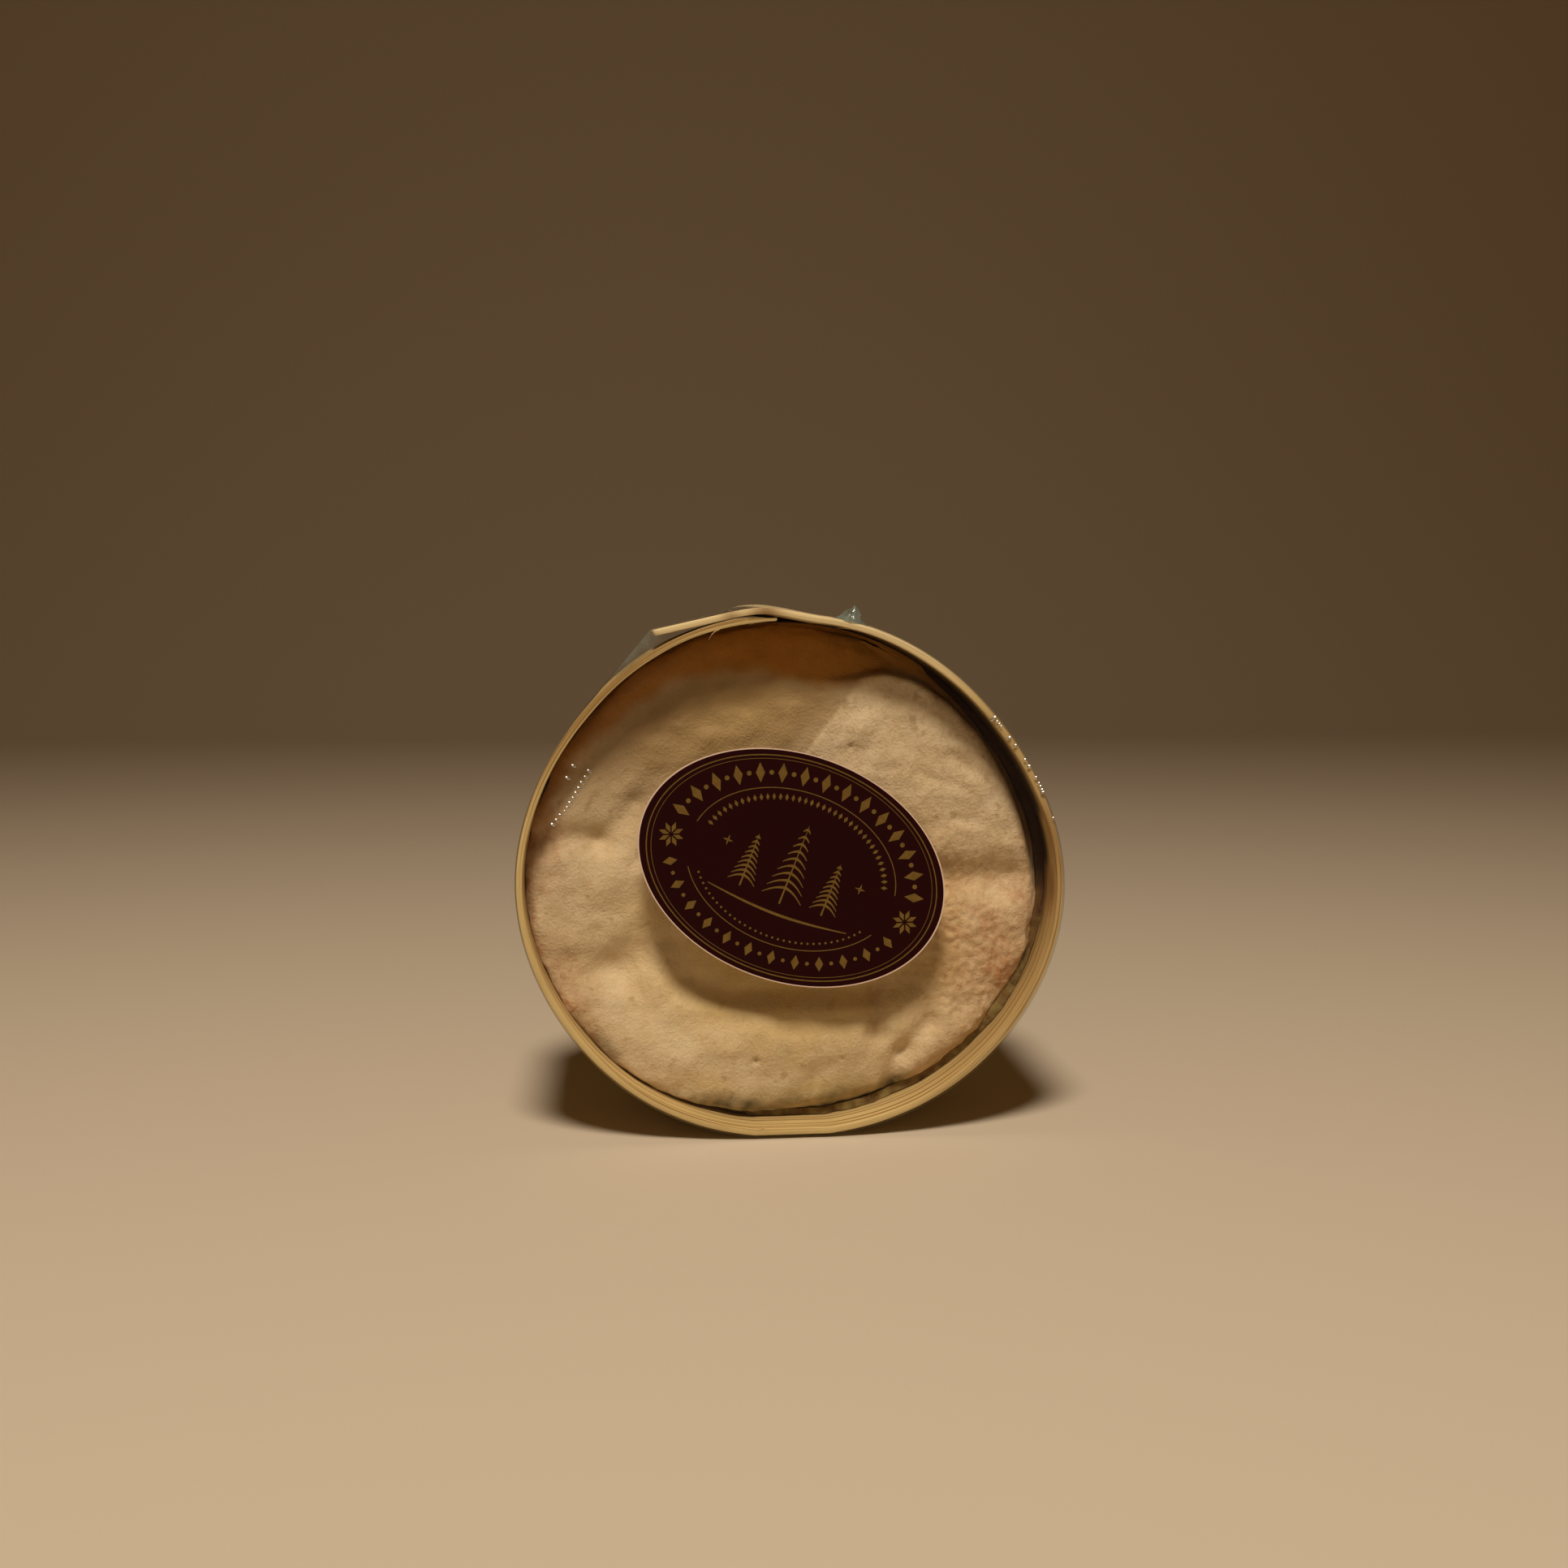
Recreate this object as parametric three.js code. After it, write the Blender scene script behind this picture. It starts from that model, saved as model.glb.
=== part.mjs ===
// A soft washed-rind cheese in its own bent spruce box, overwrapped in clear film, standing on its rim.
// Millimetres, +Z up. The open face of the box looks towards -Y and the wheel's axis runs along Y.
// Angles are counted about that axis, from +X towards +Z, so 90 degrees is the top of the wheel.
import * as THREE from "three";

const TURN = 2 * Math.PI;
const radians = (degrees) => (degrees * Math.PI) / 180;

// Driving dimensions of the box
const BOX_RADIUS = 61.0; // mean radius of the hoop's outer face
const BOX_DEPTH = 42.0; // width of the spruce strip, which is the depth of the box
const STRIP = 1.5; // thickness of the strip
const CLEARANCE = 0.3; // gap left between pieces that touch
const FOOT_SINK = 0.5; // how far the rim has flattened where it stands

// The hoop isn't a true round: each swell is a number of waves round the rim, with a crest at an angle.
const SWELLS = [
  { waves: 1, height: 0.99, crest: 253 },
  { waves: 2, height: 1.19, crest: 167 },
  { waves: 3, height: 0.66, crest: 97 },
  { waves: 4, height: 0.28, crest: 85 },
  { waves: 6, height: 0.19, crest: 0 },
];

// The strip's two ends overlap at the top. The outer layer is stapled and its last stretch stands off.
const OVERLAP = {
  innerEnd: 93, // angle of the cut end that lies inside
  climbFrom: 80, // the strip starts to climb over that end here
  leaves: 103, // the outer layer runs straight on from here
  looseEnd: 119.6,
  layerGap: 0.25,
  fillTo: 88, // base and strap follow the climbing strip up to here
};
const STAPLE = { width: 1.2, length: 10, height: 0.5, angle: 101.8, spacing: 22 };
const HOOP_STEP = 3; // degrees between the hoop's outline points

// The board that closes the back
const BASE = { thickness: 3.0, recess: 1.0 };

// The bark strap between hoop and cheese, thin where the cheese leans on the hoop
const STRAP = { thinnest: 0.9, slack: 0.7, backMargin: 0.4, front: -12.0, tuckedFront: -6.4, ragged: 0.45 };

// The cheese: its face lies this far behind the rim, and it leans to the upper left of the hoop
const CHEESE = {
  recess: 9.0,
  shoulder: 4.5,
  gap: 1.45,
  lean: 1.25,
  leanFrom: 332,
  tightest: 0.45,
  lipBack: -8.2,
  lipSlope: 1.3,
  backRound: 2.0,
};

// The film is stretched over the face and sides and gathered round a small opening at the back
const FILM = { thickness: 0.35, dish: 1.3, opening: 13, stapleRise: 0.85, tentEnd: 145, pleats: 24, pleatDepth: 0.3 };
const FILM_TIP = { angle: 75, depth: -18.4, height: 4.6, halfWidth: 5.2, halfDepth: 3.4 };
const WRAP = CLEARANCE + FILM.thickness;

// The oval label on the film: half axes, centre right and above the wheel's axis, and turn
const LABEL = { halfLength: 36.3, halfHeight: 26.0, right: -0.3, up: 2.1, turn: -21.5, thickness: 0.3 };

const SEGMENTS = 96;

// Relief of the cheese's face, placed right and above the wheel's axis. Heights stand towards the viewer.
const STEPS = [
  { name: "edge of the upper right lobe", from: [19.5, 51], to: [-3, 19], height: 4.2, soft: 3.0, fade: 60, ends: 9 },
];
const MOUNDS = [
  { name: "upper left plateau", at: [-16, 40], reach: [34, 20], turn: 20, height: -1.6 },
  { name: "upper right lobe", at: [33, 22], reach: [21, 17], turn: -50, height: 1.0 },
  { name: "lobe on the left", at: [-41, 0], reach: [9, 10], turn: 10, height: 2.2 },
  { name: "low left lobe", at: [-43, -31], reach: [9, 10], turn: 40, height: 2.0 },
  { name: "ridge beside the hollow", at: [-33, -25], reach: [5, 12], turn: -20, height: 1.6 },
  { name: "hollow under the label", at: [-7, -17], reach: [25, 13], turn: -4, height: -2.6 },
  { name: "bottom lobe", at: [0, -42], reach: [27, 9.5], turn: 2, height: 3.4 },
  { name: "lobe below the right hollow", at: [44, -19], reach: [12, 12], turn: -30, height: 1.8 },
  { name: "low right slope", at: [37, -42], reach: [12, 8], turn: 40, height: 0.9 },
];
const CREASES = [
  { name: "left crease, outer part", from: [-58, 9.3], to: [-44, 7.8], width: 2.8, depth: 1.7 },
  { name: "left crease, inner part", from: [-44, 7.8], to: [-36, 16], width: 3.2, depth: 1.5 },
  { name: "left valley, inner part", from: [-27, -12], to: [-40, -22.5], width: 4.6, depth: 2.4 },
  { name: "left valley, outer part", from: [-40, -22.5], to: [-52, -20], width: 3.4, depth: 1.6 },
  { name: "right hollow", from: [28, -2.6], to: [52, -2], width: 4.6, depth: 2.7 },
  { name: "furrow", from: [20.5, -20], to: [20, -37], width: 2.4, depth: 2.2 },
  { name: "low right crease, upper part", from: [33, -36.5], to: [26.8, -43], width: 2.4, depth: 1.4 },
  { name: "low right crease, lower part", from: [26.8, -43], to: [23.3, -51.5], width: 2.4, depth: 1.4 },
];
const WRINKLES = { height: 0.3, wavelengths: [17, 11, 7.5] };

const mix = (a, b, share) => a + (b - a) * share;
const smoothstep = (low, high, value) => THREE.MathUtils.smoothstep(value, low, high);

// Radius of the hoop as it was bent, before the rim was flattened by standing
function bentRadius(angle) {
  const swell = SWELLS.reduce((sum, s) => sum + s.height * Math.cos(s.waves * (angle - radians(s.crest))), 0);
  return BOX_RADIUS + swell;
}

// How far below the axis the hoop's flattened foot lies
function footDrop() {
  let lowest = 0;
  for (let degrees = 240; degrees <= 300; degrees += 1) {
    const angle = radians(degrees);
    lowest = Math.max(lowest, -Math.sin(angle) * bentRadius(angle));
  }
  return lowest - FOOT_SINK;
}
const FOOT_DROP = footDrop();

// Radius of the rim's outer face, or of a face that lies outside or inside it by the offset
function rimRadius(angle, offset = 0) {
  const radius = bentRadius(angle) + offset;
  const down = -Math.sin(angle);
  return down > 0.5 ? Math.min(radius, (FOOT_DROP + offset) / down) : radius;
}

// Outer face of the strip's outer layer, for angles from where it climbs to its loose end
function outerLayerRadius(angle) {
  const climb = smoothstep(radians(OVERLAP.climbFrom), radians(OVERLAP.innerEnd), angle);
  const rise = climb * (STRIP + OVERLAP.layerGap);
  const leaves = radians(OVERLAP.leaves);
  return angle <= leaves ? rimRadius(angle) + rise : (rimRadius(leaves) + rise) / Math.cos(angle - leaves);
}

// Inner face of the box: the strip's nominal one, or the climbing strip's just before its inner end
function wallRadius(angle) {
  const climbing = angle > radians(OVERLAP.climbFrom) && angle < radians(OVERLAP.fillTo);
  return climbing ? outerLayerRadius(angle) - STRIP : rimRadius(angle, -STRIP);
}

// Splits each four-sided facet along its shorter diagonal, so that slanting creases stay smooth
function splitShorter(geometry) {
  const { position } = geometry.attributes;
  const at = (index) => new THREE.Vector3().fromBufferAttribute(position, index);
  const index = geometry.index.array;
  for (let facet = 0; facet < index.length; facet += 6) {
    const [a, b, d, c] = index.slice(facet, facet + 4);
    if (at(a).distanceTo(at(c)) < at(b).distanceTo(at(d))) index.set([a, b, c, a, c, d], facet);
  }
}

// A closed body turned about the wheel's axis: place(step, angle) gives each point of its section
function turned(steps, place, segments = SEGMENTS) {
  const profile = Array.from({ length: steps }, (_, step) => new THREE.Vector2(1, step));
  const geometry = new THREE.LatheGeometry(profile, segments);
  const position = geometry.attributes.position;
  for (let index = 0; index < position.count; index += 1) {
    const turn = Math.floor(index / steps) % segments;
    const angle = Math.PI / 2 - (TURN * turn) / segments;
    position.setXYZ(index, ...place(index % steps, angle));
  }
  splitShorter(geometry);
  geometry.computeVertexNormals();
  return geometry;
}

const polar = (radius, depth, angle) => [radius * Math.cos(angle), depth, radius * Math.sin(angle)];

function piece(name, geometry, color, roughness, metalness = 0) {
  const mesh = new THREE.Mesh(geometry, new THREE.MeshStandardMaterial({ color, roughness, metalness }));
  mesh.name = name;
  return mesh;
}

// The bent strip, once round and over its own end, as an outline that is extruded along the axis
function hoop() {
  const outer = [];
  const inner = [];
  const first = OVERLAP.innerEnd;
  const last = 360 + OVERLAP.looseEnd;
  const count = Math.ceil((last - first) / HOOP_STEP);
  for (let index = 0; index <= count; index += 1) {
    const degrees = mix(first, last, index / count);
    const overlapping = degrees >= 360 + OVERLAP.climbFrom;
    const angle = radians(degrees % 360);
    const radius = overlapping ? outerLayerRadius(angle) : rimRadius(angle);
    outer.push(new THREE.Vector2(radius * Math.cos(angle), radius * Math.sin(angle)));
    const within = radius - STRIP;
    inner.push(new THREE.Vector2(within * Math.cos(angle), within * Math.sin(angle)));
  }
  const outline = new THREE.Shape([...outer, ...inner.reverse()]);
  const geometry = new THREE.ExtrudeGeometry(outline, { depth: BOX_DEPTH, bevelEnabled: false, steps: 1 });
  geometry.rotateX(Math.PI / 2);
  geometry.translate(0, BOX_DEPTH / 2, 0);
  return piece("box_hoop", geometry, 0xcdb27a, 0.6);
}

// The round board set into the back of the hoop
function base() {
  const back = BOX_DEPTH / 2 - BASE.recess;
  const front = back - BASE.thickness;
  const chamfer = 0.4;
  const geometry = turned(6, (step, angle) => {
    const edge = wallRadius(angle) - CLEARANCE;
    const section = [[0, front], [edge - chamfer, front], [edge, front + chamfer], [edge, back - chamfer],
      [edge - chamfer, back], [0, back]];
    return polar(...section[step], angle);
  });
  return piece("box_base", geometry, 0xc9ae78, 0.65);
}

// Gap between the hoop and the cheese, widest on the side that the cheese leans away from
function cheeseGap(angle) {
  return CHEESE.gap + CHEESE.lean * Math.cos(angle - radians(CHEESE.leanFrom));
}

function strapThickness(angle) {
  return Math.max(STRAP.thinnest, cheeseGap(angle) - STRAP.slack);
}

// The cheese's radius where the strap holds it
function waistRadius(angle) {
  return rimRadius(angle, -STRIP) - strapThickness(angle) - STRAP.slack;
}

// The bark strap: a thin ring with a torn front edge, tucked behind the cheese's lip on the upper left
function strap() {
  const back = BOX_DEPTH / 2 - BASE.recess - BASE.thickness - STRAP.backMargin;
  const geometry = turned(5, (step, angle) => {
    const outer = wallRadius(angle) - STRAP.slack / 2;
    const inner = waistRadius(angle) + STRAP.slack / 2;
    const torn = STRAP.ragged * (Math.cos(7 * angle + 1) + 0.7 * Math.cos(17 * angle) + 0.5 * Math.cos(29 * angle + 2));
    const open = smoothstep(1.7, 2.3, cheeseGap(angle));
    const front = mix(STRAP.tuckedFront, STRAP.front, open) + open * torn;
    const section = [[outer, front], [outer, back], [inner, back], [inner, front + 0.3], [outer, front]];
    return polar(...section[step], angle);
  });
  return piece("bark_strap", geometry, 0x4a3a22, 0.85);
}

// Distance from a point to a stretch of line, and how far it lies to the right of the line's direction
function besideLine([right, up], from, to) {
  const along = [to[0] - from[0], to[1] - from[1]];
  const length = Math.hypot(...along);
  const run = ((right - from[0]) * along[0] + (up - from[1]) * along[1]) / length;
  const side = ((up - from[1]) * along[0] - (right - from[0]) * along[1]) / length;
  const beyond = Math.max(0, -run, run - length);
  return { side, beyond, distance: Math.hypot(side, beyond) };
}

const bell = (value) => Math.exp(-value * value);

function moundHeight(point, { at, reach, turn, height }) {
  const right = point[0] - at[0];
  const up = point[1] - at[1];
  const cos = Math.cos(radians(turn));
  const sin = Math.sin(radians(turn));
  return height * bell(Math.hypot((right * cos + up * sin) / reach[0], (up * cos - right * sin) / reach[1]));
}

function stepHeight(point, { from, to, height, soft, fade, ends }) {
  const { side, beyond } = besideLine(point, from, to);
  return height * smoothstep(-soft, soft, side) * bell(Math.max(0, side) / fade) * bell(beyond / ends);
}

// Soft wrinkles of the rind, as crossing waves of a few wavelengths
function wrinkleHeight([right, up]) {
  return WRINKLES.wavelengths.reduce((sum, wavelength, index) => {
    const turn = 1.1 + 2.3 * index;
    const across = (TURN * (right * Math.cos(turn) + up * Math.sin(turn))) / wavelength;
    const along = (TURN * (up * Math.cos(turn) - right * Math.sin(turn))) / (1.7 * wavelength);
    return sum + (WRINKLES.height / (index + 1)) * Math.sin(across + 1.5 * Math.sin(along)) * Math.cos(along + index);
  }, 0);
}

// Height of the cheese's face above its mean level, at a point right and above the wheel's axis
function relief(point) {
  const steps = STEPS.reduce((sum, step) => sum + stepHeight(point, step), 0);
  const mounds = MOUNDS.reduce((sum, mound) => sum + moundHeight(point, mound), 0);
  const creases = CREASES.reduce((sum, crease) => {
    return sum + crease.depth * bell(besideLine(point, crease.from, crease.to).distance / crease.width);
  }, 0);
  return steps + mounds - creases + wrinkleHeight(point);
}

// The cheese: face rings, rounded shoulder, lip over the strap, waist, and a plain back
function cheese() {
  const faceRings = 17;
  const shoulderSteps = 5;
  const level = -BOX_DEPTH / 2 + CHEESE.recess;
  const back = BOX_DEPTH / 2 - BASE.recess - BASE.thickness - CLEARANCE;
  const steps = faceRings + shoulderSteps + 6;
  const geometry = turned(steps, (step, angle) => {
    const lip = rimRadius(angle, -STRIP) - Math.max(CHEESE.tightest, cheeseGap(angle));
    const waist = waistRadius(angle);
    const flat = lip - CHEESE.shoulder;
    const onFace = (radius) => level - relief([radius * Math.cos(angle), radius * Math.sin(angle)]);
    if (step < faceRings) {
      const radius = flat * (step / (faceRings - 1)) ** 0.7;
      return polar(radius, onFace(radius), angle);
    }
    if (step < faceRings + shoulderSteps) {
      const bend = (Math.PI / 2) * ((step - faceRings + 1) / shoulderSteps);
      const radius = flat + CHEESE.shoulder * Math.sin(bend);
      const depth = onFace(radius) + CHEESE.shoulder * (1 - Math.cos(bend));
      return polar(radius, Math.min(depth, CHEESE.lipBack - 0.4), angle);
    }
    const rest = [[lip, CHEESE.lipBack], [waist, CHEESE.lipBack + CHEESE.lipSlope], [waist, back - CHEESE.backRound],
      [waist - CHEESE.backRound, back], [0.5 * waist, back], [0, back]];
    return polar(...rest[step - faceRings - shoulderSteps], angle);
  });
  return piece("cheese", geometry, 0xcdb489, 0.55);
}

// Inner face of the film along the side, over the overlap and from its loose end down to the hoop
function filmRadius(angle) {
  const plain = rimRadius(angle, CLEARANCE);
  const tipAngle = radians(120);
  const tentAngle = radians(FILM.tentEnd);
  if (angle < radians(OVERLAP.climbFrom) || angle > tentAngle) return plain;
  if (angle <= tipAngle + 1e-6) {
    const rise = FILM.stapleRise * bell((angle - radians(STAPLE.angle)) / radians(7));
    return outerLayerRadius(Math.min(angle, radians(OVERLAP.looseEnd))) + CLEARANCE + rise;
  }
  const tip = outerLayerRadius(radians(OVERLAP.looseEnd)) + CLEARANCE;
  const foot = rimRadius(tentAngle, CLEARANCE);
  const chord = (tip * foot * Math.sin(tentAngle - tipAngle))
    / (foot * Math.sin(tentAngle - angle) + tip * Math.sin(angle - tipAngle));
  return Math.max(plain, chord);
}

// The crumpled corner of film that stands up near the front of the top
function filmTipHeight(angle, depth) {
  const across = Math.abs(angle - radians(FILM_TIP.angle)) * BOX_RADIUS / FILM_TIP.halfWidth;
  const along = Math.abs(depth - FILM_TIP.depth) / FILM_TIP.halfDepth;
  return FILM_TIP.height * Math.max(0, 1 - across) * Math.max(0, 1 - along);
}

// Depth of the film's inner face over the open front: flat on the rim and dished over the cheese
function faceDish(right, up) {
  return FILM.dish * Math.max(0, 1 - (right * right + up * up) / (BOX_RADIUS * BOX_RADIUS));
}

function film() {
  const face = -BOX_DEPTH / 2 - CLEARANCE;
  const corner = 0.4;
  const points = 20;
  const geometry = turned(points, (step, signedAngle) => {
    const angle = (signedAngle + TURN) % TURN;
    const inner = filmRadius(angle);
    const outer = inner + FILM.thickness;
    const mouth = FILM.opening + 2.0 * Math.cos(3 * angle + 1) + 1.2 * Math.cos(7 * angle + 2);
    const pleat = FILM.pleatDepth * (1 + Math.cos(FILM.pleats * angle)) / 2;
    const front = (radius) => face + faceDish(radius, 0);
    const skin = FILM.thickness;
    const tip = filmTipHeight(angle, FILM_TIP.depth);
    const section = [
      [0, front(0) - skin], [30, front(30) - skin], [53, front(53) - skin], [outer - corner, face - skin],
      [outer, face - skin + corner], [outer + tip, FILM_TIP.depth], [outer, FILM_TIP.depth + FILM_TIP.halfDepth],
      [outer, -face + skin - corner], [outer - corner, -face + skin], [36, -face + skin - pleat],
      [mouth, -face + skin - pleat], [mouth, -face - pleat], [36, -face - pleat], [inner - corner / 2, -face],
      [inner, -face - corner / 2], [inner, face + corner / 2], [inner - corner / 2, face], [53, front(53)],
      [30, front(30)], [0, front(0)],
    ];
    return polar(...section[step], angle);
  });
  return piece("film", geometry, 0xdfe6e8, 0.15);
}

// The oval label lies on the film and follows its dish
function label() {
  const rings = [0, 0.4, 0.75, 1];
  const turn = radians(LABEL.turn);
  const face = -BOX_DEPTH / 2 - WRAP - CLEARANCE;
  const geometry = turned(2 * rings.length, (step, angle) => {
    const atFront = step < rings.length;
    const share = atFront ? rings[step] : rings[2 * rings.length - 1 - step];
    const along = LABEL.halfLength * share * Math.cos(angle);
    const across = LABEL.halfHeight * share * Math.sin(angle);
    const right = LABEL.right + along * Math.cos(turn) - across * Math.sin(turn);
    const up = LABEL.up + along * Math.sin(turn) + across * Math.cos(turn);
    const depth = face + faceDish(right, up) - (atFront ? LABEL.thickness : 0);
    return [right, depth, up];
  }, 64);
  return piece("label", geometry, 0x2a0a0c, 0.35);
}

// The flat crowns of the staples that hold the overlap
function staples() {
  const angle = radians(STAPLE.angle);
  const radius = outerLayerRadius(angle) + CLEARANCE + STAPLE.height / 2;
  return ["staple_front", "staple_back"].map((name, index) => {
    const crown = new THREE.BoxGeometry(STAPLE.width, STAPLE.length, STAPLE.height);
    const mesh = piece(name, crown, 0x6b6257, 0.4, 1);
    mesh.position.set(radius * Math.cos(angle), (index - 0.5) * STAPLE.spacing, radius * Math.sin(angle));
    mesh.rotation.y = Math.PI / 2 - angle;
    return mesh;
  });
}

// The wheel stands on its film, with the middle of its width over the origin
function standingPlace() {
  const reaches = Array.from({ length: SEGMENTS }, (_, index) => {
    const angle = (TURN * index) / SEGMENTS;
    return rimRadius(angle, WRAP) * Math.cos(angle);
  });
  const middle = (Math.max(...reaches) + Math.min(...reaches)) / 2;
  return new THREE.Vector3(-middle, 0, FOOT_DROP + WRAP);
}

const wheel = new THREE.Group();
wheel.add(hoop(), base(), strap(), cheese(), film(), label(), ...staples());
wheel.position.copy(standingPlace());

export default wheel;
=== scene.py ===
# %% [markdown]
# This lesson dresses a boxed soft cheese: a washed-rind wheel in its own bent spruce hoop, with a bark strap
# round it, a thin board behind it, clear film over all of it and an oval paper label on the film.
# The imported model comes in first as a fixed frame. Every piece made here stands in for one of its solids,
# in the same place, and the frame itself is never moved or changed.

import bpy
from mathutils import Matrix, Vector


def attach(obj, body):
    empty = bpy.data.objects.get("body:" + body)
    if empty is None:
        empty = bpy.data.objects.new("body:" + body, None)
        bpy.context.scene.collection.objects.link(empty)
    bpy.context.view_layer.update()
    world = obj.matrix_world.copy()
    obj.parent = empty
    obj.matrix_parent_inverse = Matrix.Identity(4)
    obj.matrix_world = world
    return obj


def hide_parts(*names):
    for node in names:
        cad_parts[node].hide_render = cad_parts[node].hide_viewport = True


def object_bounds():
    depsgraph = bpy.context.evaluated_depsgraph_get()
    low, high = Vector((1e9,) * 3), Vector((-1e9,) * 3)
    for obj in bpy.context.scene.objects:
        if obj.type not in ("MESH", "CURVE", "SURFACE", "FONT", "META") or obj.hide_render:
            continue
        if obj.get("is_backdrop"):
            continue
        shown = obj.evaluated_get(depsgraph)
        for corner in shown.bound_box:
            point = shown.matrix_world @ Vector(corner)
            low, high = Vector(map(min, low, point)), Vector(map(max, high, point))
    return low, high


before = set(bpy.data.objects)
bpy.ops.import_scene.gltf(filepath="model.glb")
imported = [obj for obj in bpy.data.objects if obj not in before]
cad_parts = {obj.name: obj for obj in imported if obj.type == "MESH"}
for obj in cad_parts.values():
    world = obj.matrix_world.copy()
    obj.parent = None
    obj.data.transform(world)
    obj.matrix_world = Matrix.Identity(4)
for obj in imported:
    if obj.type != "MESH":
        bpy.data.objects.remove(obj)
CAD_LOW, CAD_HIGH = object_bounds()
print("solids in the frame:", ", ".join(sorted(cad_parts)))

# %% Libraries and units
import math

import bmesh
import bpy
import numpy as np
from mathutils import Vector, noise

MM = 0.001
TURN = 2 * math.pi

# %% [markdown]
# The real box is a strip of spruce bent round a form, so it is never a true circle. Its outline is a circle
# with a few long swells, flattened a little where it stands. Everything in the box follows this outline, so
# it is written once, as a function of the angle about the wheel's axis. Angles run from the right over the
# top, the open face looks along minus Y, and all lengths are in millimetres until a mesh is finished.

# %% Outline of the box
BOX_RADIUS = 61.0
BOX_DEPTH = 42.0
STRIP = 1.5  # thickness of the spruce strip
FRONT = -BOX_DEPTH / 2
BACK = BOX_DEPTH / 2
FOOT_SINK = 0.5  # how far the rim has flattened where it stands
WRAP = 0.65  # room for the film outside the strip
SWELLS = ((1, 0.99, 253), (2, 1.19, 167), (3, 0.66, 97), (4, 0.28, 85), (6, 0.19, 0))  # waves, height, crest

CLIMB_FROM = math.radians(84)  # the strip starts to climb over its own inner end
CLIMB_TO = math.radians(99)
INNER_END = math.radians(93.8)
PARED = 0.8  # how far the inner end is pared down, so that the outer layer can lie on it
PARED_OVER = 10.0
LEAVES = math.radians(103)  # from here the outer layer runs straight on
LOOSE_END = math.radians(119.6)
TENT_END = math.radians(145)  # the film touches the hoop again here
LAYER_GAP = 0.25
STAPLE_ANGLE = math.radians(101.8)


def smoothstep(low, high, value):
    share = np.clip((value - low) / (high - low), 0.0, 1.0)
    return share * share * (3 - 2 * share)


def bell(value):
    return np.exp(-np.square(value))


def window(value, rise_from, rise_to, fall_from, fall_to):
    """Goes from 0 up to 1 and back to 0, each between two values."""
    return smoothstep(rise_from, rise_to, value) * (1 - smoothstep(fall_from, fall_to, value))


def swung(x, y, turn):
    """Places turned about the origin by an angle."""
    return x * math.cos(turn) - y * math.sin(turn), x * math.sin(turn) + y * math.cos(turn)


def bent_radius(angle):
    return BOX_RADIUS + sum(height * np.cos(waves * (angle - math.radians(crest)))
                            for waves, height, crest in SWELLS)


lower = np.radians(np.arange(240, 301))
FOOT_DROP = float(np.max(-np.sin(lower) * bent_radius(lower))) - FOOT_SINK


def rim_radius(angle, offset=0.0):
    """Radius of the hoop's outer face, or of a face that lies outside or inside it by the offset."""
    radius = bent_radius(angle) + offset
    down = -np.sin(angle)
    flattened = np.minimum(radius, (FOOT_DROP + offset) / np.maximum(down, 0.5))
    return np.where(down > 0.5, flattened, radius)


def outer_layer_radius(angle):
    """Outer face of the strip from where it climbs over its own end to its loose end."""
    rise = (STRIP + LAYER_GAP) * smoothstep(CLIMB_FROM, CLIMB_TO, angle)
    straight = (rim_radius(LEAVES) + STRIP + LAYER_GAP) / np.cos(np.clip(angle - LEAVES, 0.0, 0.6))
    return np.where(angle <= LEAVES, rim_radius(angle) + rise, straight)


around = np.linspace(0, TURN, 97)[:-1]
reaches = rim_radius(around, WRAP) * np.cos(around)
AXIS = Vector((-(reaches.max() + reaches.min()) / 2, 0.0, FOOT_DROP + WRAP)) * MM
print(f"the wheel's axis is {AXIS.x / MM:.2f} mm right of the origin and {AXIS.z / MM:.2f} mm up")


def on_wheel(angle, radius, depth):
    """Points at an angle and a radius about the axis, and at a depth."""
    return np.column_stack([radius * np.cos(angle), depth, radius * np.sin(angle)])


def about_axis(points):
    """Angle and radius of points about the axis."""
    return np.arctan2(points[:, 2], points[:, 0]), np.hypot(points[:, 0], points[:, 2])


# %% [markdown]
# A few tools do the handwork. One lays out a flat strip with eased edges, as it leaves the saw. One draws a
# profile by extruding one vertex and spins it, as on a lathe. One reshapes a mesh by a rule, which is how a
# strip is bent or a turned wheel pressed into its box. The last puts the finished mesh on the wheel's axis,
# gives it its material and hides the solid it stands for. The small ones select, copy, join and cut.

# %% Modelling helpers


def deselect():
    bpy.ops.object.select_all(action="DESELECT")


def name_it(name):
    piece = bpy.context.object
    piece.name = piece.data.name = name
    return piece


def start(name, primitive, **settings):
    """Adds a primitive with nothing else selected, names it and applies its place, turn and scale."""
    deselect()
    primitive(**settings)
    piece = name_it(name)
    bpy.ops.object.transform_apply(location=True, rotation=True, scale=True)
    return piece


def pick(piece):
    """Makes one piece the active and the only selected one."""
    deselect()
    piece.select_set(True)
    bpy.context.view_layer.objects.active = piece


def copy_of(piece):
    copy = piece.copy()
    copy.data = piece.data.copy()
    bpy.context.scene.collection.objects.link(copy)
    return copy


def select_where(piece, kind, passes):
    """In edit mode, selects the edges or the faces that pass a test."""
    bpy.ops.mesh.select_mode(type=kind)
    bpy.ops.mesh.select_all(action="DESELECT")
    shape = bmesh.from_edit_mesh(piece.data)
    for one in shape.edges if kind == "EDGE" else shape.faces:
        if passes(one):
            one.select_set(True)
    bmesh.update_edit_mesh(piece.data)


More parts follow.
